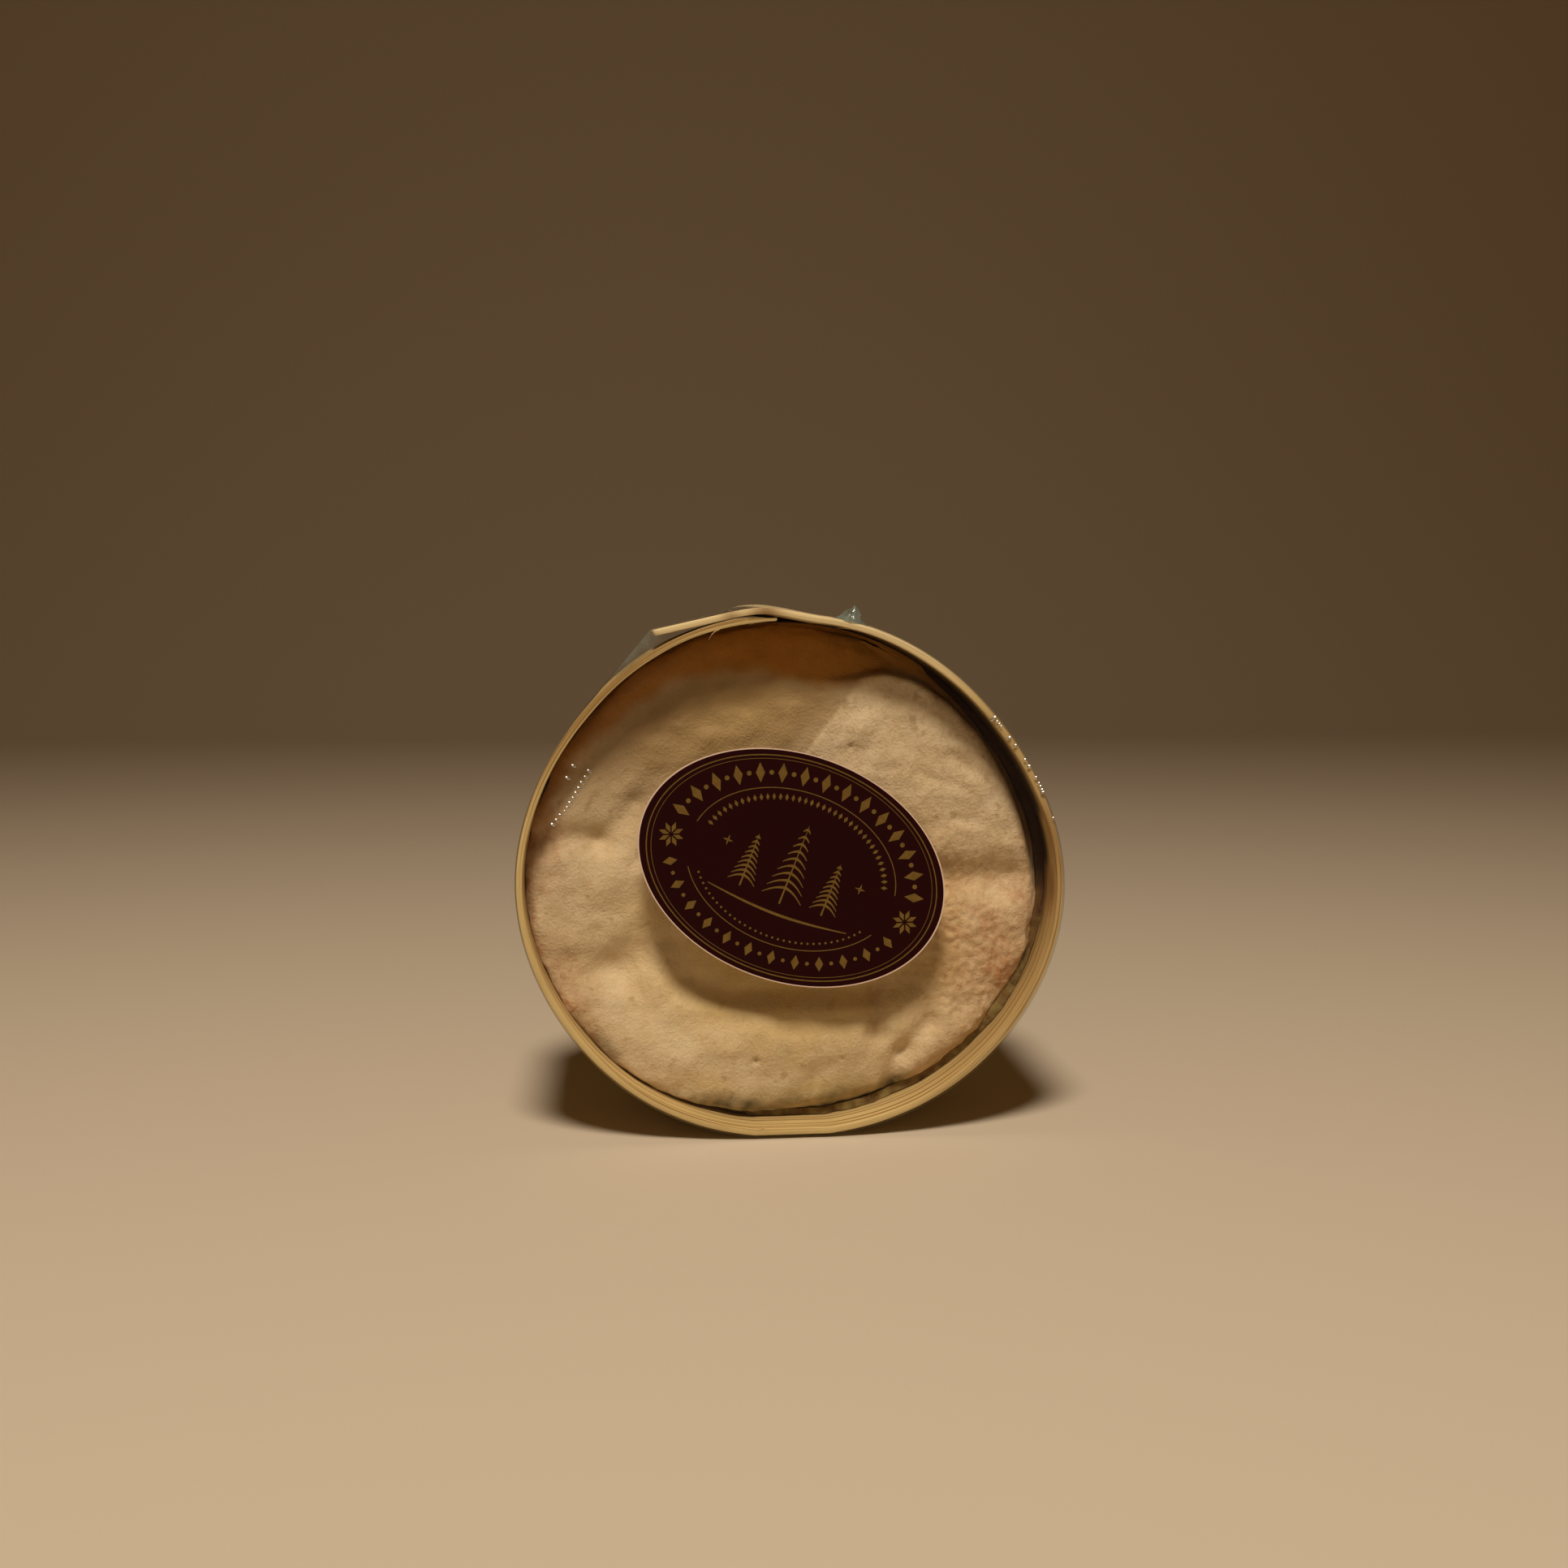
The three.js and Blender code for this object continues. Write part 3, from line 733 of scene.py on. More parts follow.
def relief(right, up):
    """Height of the face above its mean level, towards the viewer."""
    side, beyond, _ = beside_line(right, up, *LOBE_LINE)
    height = LOBE_EDGE["height"] * smoothstep(-LOBE_EDGE["soft"], LOBE_EDGE["soft"], side)
    height = height * bell(np.maximum(0, side) / LOBE_EDGE["fade"]) * bell(beyond / LOBE_EDGE["ends"])
    for form in MOUNDS:
        height = height + mound(right, up, *form)
    x, y = (right - HOLLOW["at"][0]) / HOLLOW["half"][0], (up - HOLLOW["at"][1]) / HOLLOW["half"][1]
    out = (np.abs(x) ** HOLLOW["square"] + np.abs(y) ** HOLLOW["square"]) ** (1 / HOLLOW["square"])
    height = height - HOLLOW["depth"] * (1 - smoothstep(1 - HOLLOW["soft"], 1 + HOLLOW["soft"], out))
    angle, from_axis = np.degrees(np.arctan2(up, right)), np.hypot(right, up)
    past_edge = smoothstep(-0.3, MOAT["soft"], from_axis - np.interp(angle, *zip(*BROWN_RING)))
    height = height - MOAT["depth"] * window(angle, *MOAT["angles"]) * past_edge
    brim = smoothstep(BRIM["from"], BRIM["to"], from_axis)
    height = height + BRIM["height"] * window(angle % 360, *BRIM["angles"]) * brim
    for start, end, width, depth in CREASES:
        height = height - depth * bell(beside_line(right, up, start, end)[2] / width)
    for at_right, at_up, radius, depth in PITS:
        height = height - depth * bell(np.hypot(right - at_right, up - at_up) / radius)
    return height + soft_wrinkles(right, up)


# %% [markdown]
# The rind isn't smooth. Over all of it runs a soft unevenness a few millimetres wide, and towards the lower
# right it turns crumbly, with crags of a millimetre or two. The lip against the strap is ragged everywhere.

# %% The turned and pressed wheel
LIP = 57.0  # nominal radius of the lip
FLAT = 52.5  # nominal radius where the shoulder starts
LIP_BACK = -8.2
WAIST = 55.0
CHEESE_BACK = BOARD_FRONT - 0.3
ROUNDED = 3.4  # drop of the shoulder
SQUARED = 0.72  # how much sharper the shoulder is where the cheese was pressed up on the left
SQUARED_AT = (205, 40, 75)  # round this angle, full within the first reach and gone past the second
CRUMBLY = (45, -23, 15, 30, 30, 1.0)
SWOLLEN = (165, 190, 238, 276)  # between these angles the lip fills most of the gap on the left
BULGE_AT, BULGE_REACH = 335, 42  # and round this angle it fills it on the lower right
THINNEST_GAP = 0.12

shoulder = [(FLAT + (LIP - FLAT) * math.sin(bend), LEVEL + ROUNDED * (1 - math.cos(bend)), 1)
            for bend in np.linspace(0, math.pi / 2, 12, endpoint=False)]
cheese = turned("washed_rind_cheese", profile_through(
    (0, LEVEL, 14), (20, LEVEL, 62), *shoulder, (LIP, LEVEL + ROUNDED, 2), (LIP, LIP_BACK, 3),
    (WAIST, LIP_BACK + 1.3, 8), (WAIST, CHEESE_BACK - 2, 3), (WAIST - 2, CHEESE_BACK, 8),
    (0, CHEESE_BACK, 1)), 512)


def press_cheese(points):
    angle, nominal = about_axis(points)
    degrees = np.degrees(angle) % 360
    depth = points[:, 1].copy()
    ahead = depth < LIP_BACK + 0.05
    bulge = bell(((degrees - BULGE_AT + 180) % 360 - 180) / BULGE_REACH)
    gap = cheese_gap(angle) - 0.85 * window(degrees, *SWOLLEN) - 1.15 * bulge
    lip = rim_radius(angle, -STRIP) - np.maximum(THINNEST_GAP, gap)
    squared_at, full, gone = SQUARED_AT
    squared = 1 - SQUARED * (1 - smoothstep(full, gone, np.abs(degrees - squared_at)))
    depth = np.where(depth <= LEVEL + ROUNDED + 0.01, LEVEL + (depth - LEVEL) * squared, depth)
    ring = np.column_stack([np.cos(angle), np.sin(angle), depth / 12]) * LIP
    ragged = 0.45 * rough(ring, 7.0, 1) + (0.3 + 0.4 * bulge) * rough(ring, 2.4, 2)
    swell = smoothstep(44, LIP, nominal) * np.minimum(ragged, 0.4)
    radius = np.where(ahead, nominal * lip / LIP + swell, nominal * waist_radius(angle) / WAIST)
    right, up = radius * np.cos(angle), radius * np.sin(angle)
    crumbly = np.clip(mound(right, up, *CRUMBLY) * 1.3, 0, 1)
    face = np.column_stack([right, up, np.zeros(len(right))])
    fine = 0.17 * rough(face, 5.5, 3) + 0.09 * rough(face, 2.6, 4)
    crags = crumbly * (0.3 * rough(face, 2.6, 5) + 0.5 * rough(face, 1.2, 6))
    raised = LEVEL - depth < 0.001
    sunk = relief(right, up) + fine + crags
    front = np.minimum(depth - sunk * np.where(ahead, 1, 0), np.where(ahead, LIP_BACK - 0.1, 99))
    depth = np.where(ahead & (raised | (nominal <= LIP)), front, depth)
    return np.column_stack([right, depth, up])


reshape(cheese, press_cheese)
print(f"{len(cheese.data.vertices)} vertices on the wheel")

# %% [markdown]
# A washed rind is cream where it is thick, orange-brown where it dried near the wood, and here it also has
# yellow patches and grey-green mould at the bottom edge. Each zone is a few ovals on the face, broken up by
# noise, and the shares of the zones are stored at the vertices, so the material only has to mix the colours.
# The brown under the upper rim starts at a line of its own. It is partly the rind's own dried brown and
# partly painted shade of the hoop's rim, painted darkest on the upper right where the hoop shades it most.

# %% Zones of the rind
DRIED = (  # right, up, half axes, turn, strength: orange-brown rind
    (50.5, -22, 6, 24, 27, 0.85),
    (43, -16, 13, 23, 15, 0.55),
    (55, -8, 5, 12, 5, 0.5),
    (20.5, -31, 2.4, 8, 0, 0.35),
    (40, -2, 9, 4, 0, 0.3),
    (-56, 8, 4, 14, 0, 0.5),
    (-52, -24, 5, 14, 25, 0.4),
    (36, -42, 16, 4, 40, 0.35),
)
MOULDY = (
    (23, -52.5, 5.5, 2.6, 25, 1.0),
    (-12, -55, 15, 2.4, -10, 0.85),
    (8, -56, 9, 1.8, 8, 0.8),
    (6, -53.5, 18, 3.4, 6, 0.52),
    (-43, -40, 5, 2.0, -50, 0.5),
)
BUTTERY_AND_SHADE_TINT = (
    (8, -52, 16, 4, 6, 0.45),
    (-20, -49, 9, 4, -18, 0.3),
    (-14, 34, 20, 10, 20, 0.2),
    # The hollow under the label: a yellow tint painted into the label's shadow there, as painted shade
    # colour.
    (3, -14, 32, 24, 0, 1.0),
)
GRAINY = ((44, -8, 26, 52, 8, 1.0), (30, 30, 22, 22, 0, 0.4))
SHADED = (-14, 36, 34, 17, 20, 1.35)  # the plateau beside the upper right lobe
# Painted shade: between these angles the brown under the rim is painted darkest, where the hoop shades the
# face most.
UNLIT = (-20, 0, 35, 66)  # between these angles the brown is darkest
placed = points_of(cheese)
right, up = placed[:, 0], placed[:, 2]
face = np.column_stack([right, up, np.zeros(len(right))])
mottle = rough(face, 6.0, 11)
grit = rough(face, 1.8, 12)
angle, from_axis = about_axis(placed)
edge = from_axis / (rim_radius(angle, -STRIP) - 1.0)
from_low = (np.degrees(angle) + 90) % 360 - 90  # degrees from -90 at the bottom, round to 270


def zone(spots, breakup):
    share = np.zeros(len(right))
    for spot in spots:
        share = np.maximum(share, mound(right, up, *spot))
    return np.clip(share * (1 + breakup * (0.8 * mottle + 0.6 * grit)), 0, 1)


# The brown under the upper rim is partly the rind's own dried brown and partly painted shade of the hoop's
# rim.
ring_from = np.interp(np.degrees(angle) % 360, *zip(*BROWN_RING))
upper = window(from_low, -8, 12, 158, 186) * (1 - 0.12 * smoothstep(100, 130, from_low))
ring = np.clip(upper * smoothstep(-2.2, 2.0, from_axis - ring_from + 1.3 * mottle + 0.4 * grit), 0, 1)
bottom = np.maximum(smoothstep(215, 240, from_low), from_low < -60)
edged = 0.75 * smoothstep(0.965, 1.01, edge) * (1 + 0.5 * mottle + 0.5 * grit) * (1 - bottom)
behind = smoothstep(LIP_BACK - 0.5, LIP_BACK + 2, placed[:, 1])
dried = np.clip(np.maximum(np.maximum(zone(DRIED, 0.55), edged), 0.8 * behind), 0, 1)
mark(cheese, "zones", np.column_stack([dried, zone(MOULDY, 0.8), zone(BUTTERY_AND_SHADE_TINT, 0.4)]))
mark(cheese, "ring", 0.97 * ring)
# Painted shade, darker still, where the hoop shades the upper right of the face.
mark(cheese, "painted_rim_shade", 0.5 * window(from_low, *UNLIT) * ring)
plateau = mound(right, up, *SHADED) * smoothstep(-0.6, 1.4, -beside_line(right, up, *LOBE_LINE)[0])
mark(cheese, "shade", np.clip(plateau, 0, 0.9))
mark(cheese, "grainy", np.clip(0.25 + sum(mound(right, up, *spot) for spot in GRAINY), 0, 1))

# %% [markdown]
# The rind itself is a damp, slightly furry skin on fat cheese, so light goes a little way into it and it has
# no sharp gloss. Fine mottling two millimetres wide comes from noise, with small dark pinholes and a felted
# bump of under a millimetre. In dried zones the mottling is stronger, as brown specks.

# %% Washed rind
rind, tree = new_material("washed rind, damp and felted")
coords = add(tree, "ShaderNodeTexCoord").outputs["Object"]
zone_shares = add(tree, "ShaderNodeAttribute", attribute_name="zones").outputs["Vector"]
zones = add(tree, "ShaderNodeSeparateXYZ", {0: zone_shares}).outputs
marked = {}
for name in ("ring", "painted_rim_shade", "shade", "grainy"):
    marked[name] = add(tree, "ShaderNodeAttribute", attribute_name=name).outputs["Fac"]
patterns = {}
for name, size, detail, roughness, distortion in (  # size in metres
        ("fields", 0.011, 4.0, 0.6, 0.0),
        ("mottling", 0.0021, 5.0, 0.65, 0.3),
        ("felt", 0.0007, 4.0, 0.7, 0.0),
        ("pinholes", 0.0034, 2.0, 0.5, 0.0),
        ("grains", 0.0012, 3.0, 0.6, 0.0)):
    patterns[name] = add(tree, "ShaderNodeTexNoise", {
        "Vector": coords, "Scale": 1 / size, "Detail": detail, "Roughness": roughness,
        "Distortion": distortion}).outputs["Fac"]
shares = {}
for name, pattern, starts, full, least, most in (
        ("fields", "fields", 0.35, 0.7, 0.0, 1.0),
        ("flecks", "mottling", 0.5, 0.72, 0.0, 0.42),
        ("pinholes", "pinholes", 0.64, 0.72, 0.0, 0.42),
        ("grains", "grains", 0.48, 0.66, 0.0, 0.26),
        ("specks", "mottling", 0.3, 0.62, 0.3, 1.0)):
    shares[name] = add(tree, "ShaderNodeMapRange", {
        "Value": patterns[pattern], "From Min": starts, "From Max": full, "To Min": least,
        "To Max": most}).outputs[0]
for name, zone_share in (("grains", marked["grainy"]), ("specks", zones["X"])):
    shares[name] = add(tree, "ShaderNodeMath", {
        0: shares[name], 1: zone_share}, operation="MULTIPLY").outputs[0]
tones = []
for share, first, second in (
        (shares["fields"], "#bd8458", "#a2683c"),
        (patterns["mottling"], "#965a0a", "#b57c1c")):
    tones.append(add(tree, "ShaderNodeMix", {
        0: share, 6: paint(first), 7: paint(second)}, data_type="RGBA").outputs[2])
dried_brown, ring_brown = tones
skin = paint("#e5d1b2")
for share, tone in (
        (shares["fields"], paint("#d5be99")),
        (shares["flecks"], paint("#bb9a6c")),
        (shares["pinholes"], paint("#9c7a49")),
        (shares["grains"], paint("#ae8756")),
        (marked["shade"], paint("#9c7f57")),
        # Butter yellow, which in the hollow under the label is a tint painted into the label's shadow.
        (zones["Z"], paint("#e6c270")),  # butter yellow
        (shares["specks"], dried_brown),
        # The ring is partly the rind's dried brown and partly painted shade of the hoop's rim.
        (marked["ring"], ring_brown),
        # Painted shade, darkest, where the hoop shades the upper right.
        (marked["painted_rim_shade"], paint("#3c1506")),
        (zones["Y"], paint("#5c5636"))):  # mould
    skin = add(tree, "ShaderNodeMix", {0: share, 6: skin, 7: tone}, data_type="RGBA").outputs[2]
height = add(tree, "ShaderNodeMath", {
    0: patterns["mottling"], 1: patterns["felt"]}, operation="ADD").outputs[0]
bump = add(tree, "ShaderNodeBump", {"Height": height, "Strength": 0.7, "Distance": 0.00045}).outputs[0]
shader = add(tree, "ShaderNodeBsdfPrincipled", {
    "Base Color": skin, "Roughness": 0.62, "Specular IOR Level": 0.3, "Normal": bump,
    "Subsurface Weight": 0.15, "Subsurface Radius": (1.0, 0.55, 0.25), "Subsurface Scale": 0.0015})
add(tree, "ShaderNodeOutputMaterial", {"Surface": shader.outputs[0]})
dress(cheese, rind, ["cheese"], crease=80)

# %% [markdown]
# The film is a thin clear stretch film. It can't be a glass solid here: a real film is far thinner than any
# pixel and barely bends light, so the material lets light straight through and adds a sharp reflection that
# grows towards grazing angles. Blender's Fresnel node would shut light out on its way out of the skin, so the
# share comes from the facing angle, by the usual fifth power. Folded film is many layers, so it looks greyer.

# %% Stretch film


def film_finish(name, tint, cover, roughness, where, least=0.006):
    material, tree = new_material(name)
    facing = add(tree, "ShaderNodeLayerWeight", {"Blend": 0.5}).outputs["Facing"]
    grazing = add(tree, "ShaderNodeMath", {0: facing, 1: 5.0}, operation="POWER").outputs[0]
    mirror = add(tree, "ShaderNodeMapRange", {"Value": grazing, "To Min": least, "To Max": 0.9}).outputs[0]
    clear = add(tree, "ShaderNodeBsdfTransparent", {"Color": (0.985, 0.99, 0.985, 1)}).outputs[0]
    gloss = add(tree, "ShaderNodeBsdfAnisotropic", {"Roughness": roughness}).outputs[0]
    surface = add(tree, "ShaderNodeMixShader", {0: mirror, 1: clear, 2: gloss}).outputs[0]
    body = add(tree, "ShaderNodeBsdfPrincipled", {
        "Base Color": paint(tint), "Roughness": 0.35, "Specular IOR Level": 0.6}).outputs[0]
    coords = add(tree, "ShaderNodeTexCoord").outputs["Object"]
    folds = add(tree, "ShaderNodeTexNoise", {
        "Vector": coords, "Scale": 1 / 0.0016, "Detail": 3.0}).outputs["Fac"]
    layers = add(tree, "ShaderNodeMapRange", {
        "Value": folds, "From Min": 0.3, "From Max": 0.7, "To Min": 0.4 * cover, "To Max": cover}).outputs[0]
    here = add(tree, "ShaderNodeAttribute", attribute_name=where).outputs["Fac"]
    layers = add(tree, "ShaderNodeMath", {0: layers, 1: here}, operation="MULTIPLY").outputs[0]
    surface = add(tree, "ShaderNodeMixShader", {0: layers, 1: surface, 2: body}).outputs[0]
    add(tree, "ShaderNodeOutputMaterial", {"Surface": surface})
    return material


stretch_film = film_finish("stretch film", "#85877a", 0.32, 0.09, "slack")
folded_film = film_finish("stretch film, folded", "#6f7d76", 0.72, 0.14, "crushed", 0.05)
glinting_film = film_finish("stretch film, puckered", "#c9c4b4", 0.06, 0.2, "crushed", 0.55)

# %% [markdown]
# The wrap is turned like the wheel: over the open face, round the side and in again behind, where it is
# gathered round a small mouth. Then it is pulled to the outline: it follows the hoop, spans from the loose
# end of the strip down to the hoop like a tent, is dished by suction over the face, and puckers behind.

# %% The wrap
FILM_FACE = FRONT - 0.45
FILM_BACK = BACK + 0.45
FILM_OFF = 0.2  # how far it stands off the wood
FILM_SKIN = 0.05  # drawn thicker than real film, which is about 0.02 mm
DISH = 1.3
MOUTH = 13.0
NOMINAL = 61.5
CORNER = 0.4
FACE_AT, SIDE_AT = 22, 21  # depths of the faces and of the side's ends, before it is stretched
PLEATS, SMALL_PLEATS = 24, 41
TIP_ANGLE = math.radians(120)  # the tent starts here


def film_radius(angle):
    angle = np.mod(angle, TURN)
    plain = rim_radius(angle, FILM_OFF)
    over = outer_layer_radius(np.clip(angle, CLIMB_FROM, LOOSE_END)) + FILM_OFF
    over = over + 0.75 * bell((angle - STAPLE_ANGLE) / math.radians(7))  # lifted by the staples
    tip = outer_layer_radius(np.array(LOOSE_END)) + FILM_OFF
    foot = rim_radius(np.array(TENT_END), FILM_OFF)
    tent = np.clip(angle, TIP_ANGLE, TENT_END)
    chord = (tip * foot * math.sin(TENT_END - TIP_ANGLE)
             / (foot * np.sin(TENT_END - tent) + tip * np.sin(tent - TIP_ANGLE)))
    radius = np.where((angle >= CLIMB_FROM) & (angle <= TIP_ANGLE), over, plain)
    return np.where((angle > TIP_ANGLE) & (angle < TENT_END), np.maximum(plain, chord), radius)


def face_dish(right, up):
    return DISH * np.maximum(0, 1 - (right * right + up * up) / BOX_RADIUS ** 2)


film = turned("film_wrap", profile_through(
    (0, -FACE_AT, 34), (NOMINAL - CORNER, -FACE_AT, 2), (NOMINAL, -SIDE_AT, 12), (NOMINAL, SIDE_AT, 2),
    (NOMINAL - CORNER, FACE_AT, 18), (MOUTH, FACE_AT, 1)), 480)


def stretch(points):
    angle, nominal = about_axis(points)
    outline = film_radius(angle)
    in_front, behind = points[:, 1] < -SIDE_AT - 0.5, points[:, 1] > SIDE_AT + 0.5
    mouth = MOUTH + 2.0 * np.cos(3 * angle + 1) + 1.2 * np.cos(7 * angle + 2)
    share = (nominal - MOUTH) / (NOMINAL - MOUTH)
    radius = np.where(behind, mouth + share * (outline - mouth), nominal * outline / NOMINAL)
    right, up = radius * np.cos(angle), radius * np.sin(angle)
    gathered = 1 - np.clip(share, 0, 1)
    pleat = 0.45 * np.cos(PLEATS * angle + 3 * gathered) + 0.25 * np.cos(SMALL_PLEATS * angle + 1)
    back = FILM_BACK - 0.25 * gathered + gathered * (pleat - 0.1)
    side = np.interp(points[:, 1], (-SIDE_AT, SIDE_AT), (FILM_FACE, FILM_BACK))
    ripple = 0.10 * np.sin(7 * angle + 0.2 * points[:, 1]) * np.cos(points[:, 1] / 6)
    depth = np.where(in_front, FILM_FACE + face_dish(right, up), np.where(behind, back, side))
    on_side = np.abs(points[:, 1]) < SIDE_AT - 1
    scale = 1 + np.where(on_side, ripple, 0) / np.maximum(radius, 1)
    return np.column_stack([right * scale, depth, up * scale])


reshape(film, stretch)
apply_modifier(film, "SOLIDIFY", thickness=FILM_SKIN * MM, offset=0.0)
placed = points_of(film)
angle, from_axis = about_axis(placed)
off_wood = from_axis - rim_radius(angle, FILM_OFF)
tented = smoothstep(0.3, 1.5, off_wood) * smoothstep(2.06, 2.12, angle)
gathers = bell((from_axis - MOUTH) / 11) * (placed[:, 1] > BACK)
gathers = gathers * (0.35 + 0.3 * np.cos(PLEATS * angle) + 0.2 * np.cos(SMALL_PLEATS * angle + 1))
mark(film, "slack", np.maximum(tented, np.clip(gathers, 0, 1)))
dress(film, stretch_film, ["film"])

# %% [markdown]
# Tight film puckers into short radial ridges, and each ridge catches one small glint. They show as a row of
# dashes on the left and as ticks over the rim on the right. A ridge is a flattened sphere, and each copy is
# laid in its own place.

# %% Puckers
PUCKERS = (  # angle, radius and size of each
    (151.6, 52.2, 1.0), (153.3, 52.3, 0.9), (154.9, 52.5, 1.0), (156.4, 52.6, 0.9), (157.8, 52.8, 0.8),
    (159.2, 53.0, 0.7), (160.5, 53.3, 0.9), (161.8, 53.6, 0.5), (162.8, 53.9, 0.45), (164.0, 54.6, 0.7),
    (165.3, 55.1, 0.8), (166.5, 55.7, 1.0), (152.2, 55.8, 1.0), (155.3, 55.8, 1.1),
    (12.4, 61.3, 0.6), (18.5, 60.4, 0.9), (19.1, 60.4, 0.7), (19.9, 60.3, 0.6), (20.7, 60.2, 0.55),
    (22.1, 60.0, 0.7), (25.0, 59.5, 0.9), (26.7, 59.3, 0.6), (30.6, 58.8, 0.9), (32.8, 58.5, 1.0),
    (35.9, 58.4, 0.5), (36.6, 58.4, 0.5), (37.4, 58.3, 0.55), (38.5, 58.1, 1.5),
)
PUCKER_LONG, PUCKER_WIDE, PUCKER_HIGH = 1.35, 0.6, 0.24
ridge = start("ridge", bpy.ops.mesh.primitive_uv_sphere_add, segments=16, ring_count=8, radius=0.5 * MM)
reshape(ridge, lambda points: points * np.where(points[:, 2:] < 0, (1, 1, 0.1), (1, 1, 1)))
ridges = []
for place, radius, size in PUCKERS:
    copy = copy_of(ridge)
    leans = math.copysign(0.5, math.cos(math.radians(place)))  # to either side on the left and on the right

    def lay(points):
        out = radius + points[:, 0] * PUCKER_LONG * size
        aside = (points[:, 1] - leans * points[:, 2]) * PUCKER_WIDE * math.sqrt(size)
        right, up = swung(out, aside, math.radians(place))
        depth = FILM_FACE + face_dish(right, up) - 2 * PUCKER_HIGH * size * points[:, 2] - FILM_SKIN / 2
        return np.column_stack([right, depth, up])

    reshape(copy, lay)
    ridges.append(copy)
bpy.data.objects.remove(ridge)
puckers = joined("film_puckers", ridges)
face_out(puckers)
mark(puckers, "crushed", np.ones(len(puckers.data.vertices)))
dress(puckers, glinting_film, ["film"])

# %% [markdown]
# Near the front of the top a corner of film stands up, crumpled into a little peak. A cone has the right
# mass, and after it is subdivided, noise of two sizes crumples it. Its tip is bent over towards the right.

# %% The crumpled corner
CORNER_ANGLE = math.radians(77.6)
CORNER_DEPTH = -18.4
CORNER_HIGH = 3.9
corner = start("film_corner", bpy.ops.mesh.primitive_cone_add,
               vertices=14, radius1=4.4 * MM, radius2=0.3 * MM, depth=CORNER_HIGH * MM)
edit(corner, (bpy.ops.mesh.subdivide, {"number_cuts": 5}))


def crumple(points):
    height = points[:, 2] + CORNER_HIGH / 2
    share = height / CORNER_HIGH
    taper = 1 - 0.35 * np.sin(math.pi * np.clip(share, 0, 1)) * (1 - share)
    x = points[:, 0] * taper + 0.7 * share
    y = points[:, 1] * taper * 0.62
    shaped = np.column_stack([x, y, height])
    wobble = np.column_stack([rough(shaped, 1.9, seed) for seed in (21, 22, 23)])
    fine = np.column_stack([rough(shaped, 0.8, seed) for seed in (24, 25, 26)])
    shaped = shaped + (0.6 * wobble + 0.35 * fine) * np.clip(share * 3, 0.1, 1)[:, None]
    base = float(film_radius(np.array(CORNER_ANGLE))) - 0.35
    out = base + np.clip(shaped[:, 2], -0.3, 4.2)
    right, up = swung(out, -shaped[:, 0], CORNER_ANGLE)
    return np.column_stack([right, CORNER_DEPTH + shaped[:, 1], up])


reshape(corner, crumple)
face_out(corner)
mark(corner, "crushed", np.ones(len(corner.data.vertices)))
dress(corner, folded_film, ["film"], crease=30)

# %% [markdown]
# The label is coated paper, printed dark maroon to a hair's breadth of its cut edge, so a pale line runs
# round it. A circle is extruded inwards ring by ring, filled, and stretched to the oval, laid on the dished
# film and turned a little. The outermost ring keeps the bare paper.

# %% The label
LABEL_LONG, LABEL_SHORT = 36.3, 26.05
LABEL_RIGHT, LABEL_UP, LABEL_TURN = -0.3, 2.1, math.radians(-21.5)
LABEL_THICK = 0.2
PRINTED = 0.991  # share of the oval that is printed
RINGS = (PRINTED, 0.86, 0.7, 0.52, 0.34, 0.16)


def label_place(along, across, lift):
    """A point of the label, in its own long and short directions, on the film and lifted off it."""
    right, up = swung(along, across, LABEL_TURN)
    right, up = LABEL_RIGHT + right, LABEL_UP + up
    depth = FILM_FACE - FILM_SKIN - 0.02 + face_dish(right, up) - lift
    return np.column_stack([right, depth, up])


label = start("oval_label", bpy.ops.mesh.primitive_circle_add, vertices=180, radius=MM, fill_type="NOTHING")
bpy.ops.object.mode_set(mode="EDIT")
bpy.ops.mesh.select_all(action="SELECT")
for outer, inner in zip((1.0, *RINGS), RINGS):
    bpy.ops.mesh.extrude_region_move()
    bpy.ops.transform.resize(value=(inner / outer, inner / outer, 1), center_override=(0, 0, 0))
bpy.ops.mesh.edge_face_add()
bpy.ops.object.mode_set(mode="OBJECT")
reshape(label, lambda points: label_place(
    points[:, 0] * LABEL_LONG, points[:, 1] * LABEL_SHORT, LABEL_THICK / 2))
apply_modifier(label, "SOLIDIFY", thickness=LABEL_THICK * MM, offset=0.0)
face_out(label)

# %% Coated paper and its print
bare_paper, tree = new_material("label paper, cut edge")
shader = add(tree, "ShaderNodeBsdfPrincipled", {"Base Color": paint("#d9bfae"), "Roughness": 0.6})
add(tree, "ShaderNodeOutputMaterial", {"Surface": shader.outputs[0]})

printed_paper, tree = new_material("label paper, printed maroon")
coords = add(tree, "ShaderNodeTexCoord").outputs["Object"]
cloud = add(tree, "ShaderNodeTexNoise", {"Vector": coords, "Scale": 1 / 0.02, "Detail": 3.0}).outputs["Fac"]
tooth = add(tree, "ShaderNodeTexNoise", {"Vector": coords, "Scale": 1 / 0.0006, "Detail": 2.0}).outputs["Fac"]
ink = add(tree, "ShaderNodeMix", {
    0: cloud, 6: paint("#260407"), 7: paint("#1e0304")}, data_type="RGBA").outputs[2]
bump = add(tree, "ShaderNodeBump", {"Height": tooth, "Strength": 0.15, "Distance": 0.0001}).outputs[0]
shader = add(tree, "ShaderNodeBsdfPrincipled", {
    "Base Color": ink, "Roughness": 0.5, "Specular IOR Level": 0.08, "Normal": bump})
add(tree, "ShaderNodeOutputMaterial", {"Surface": shader.outputs[0]})

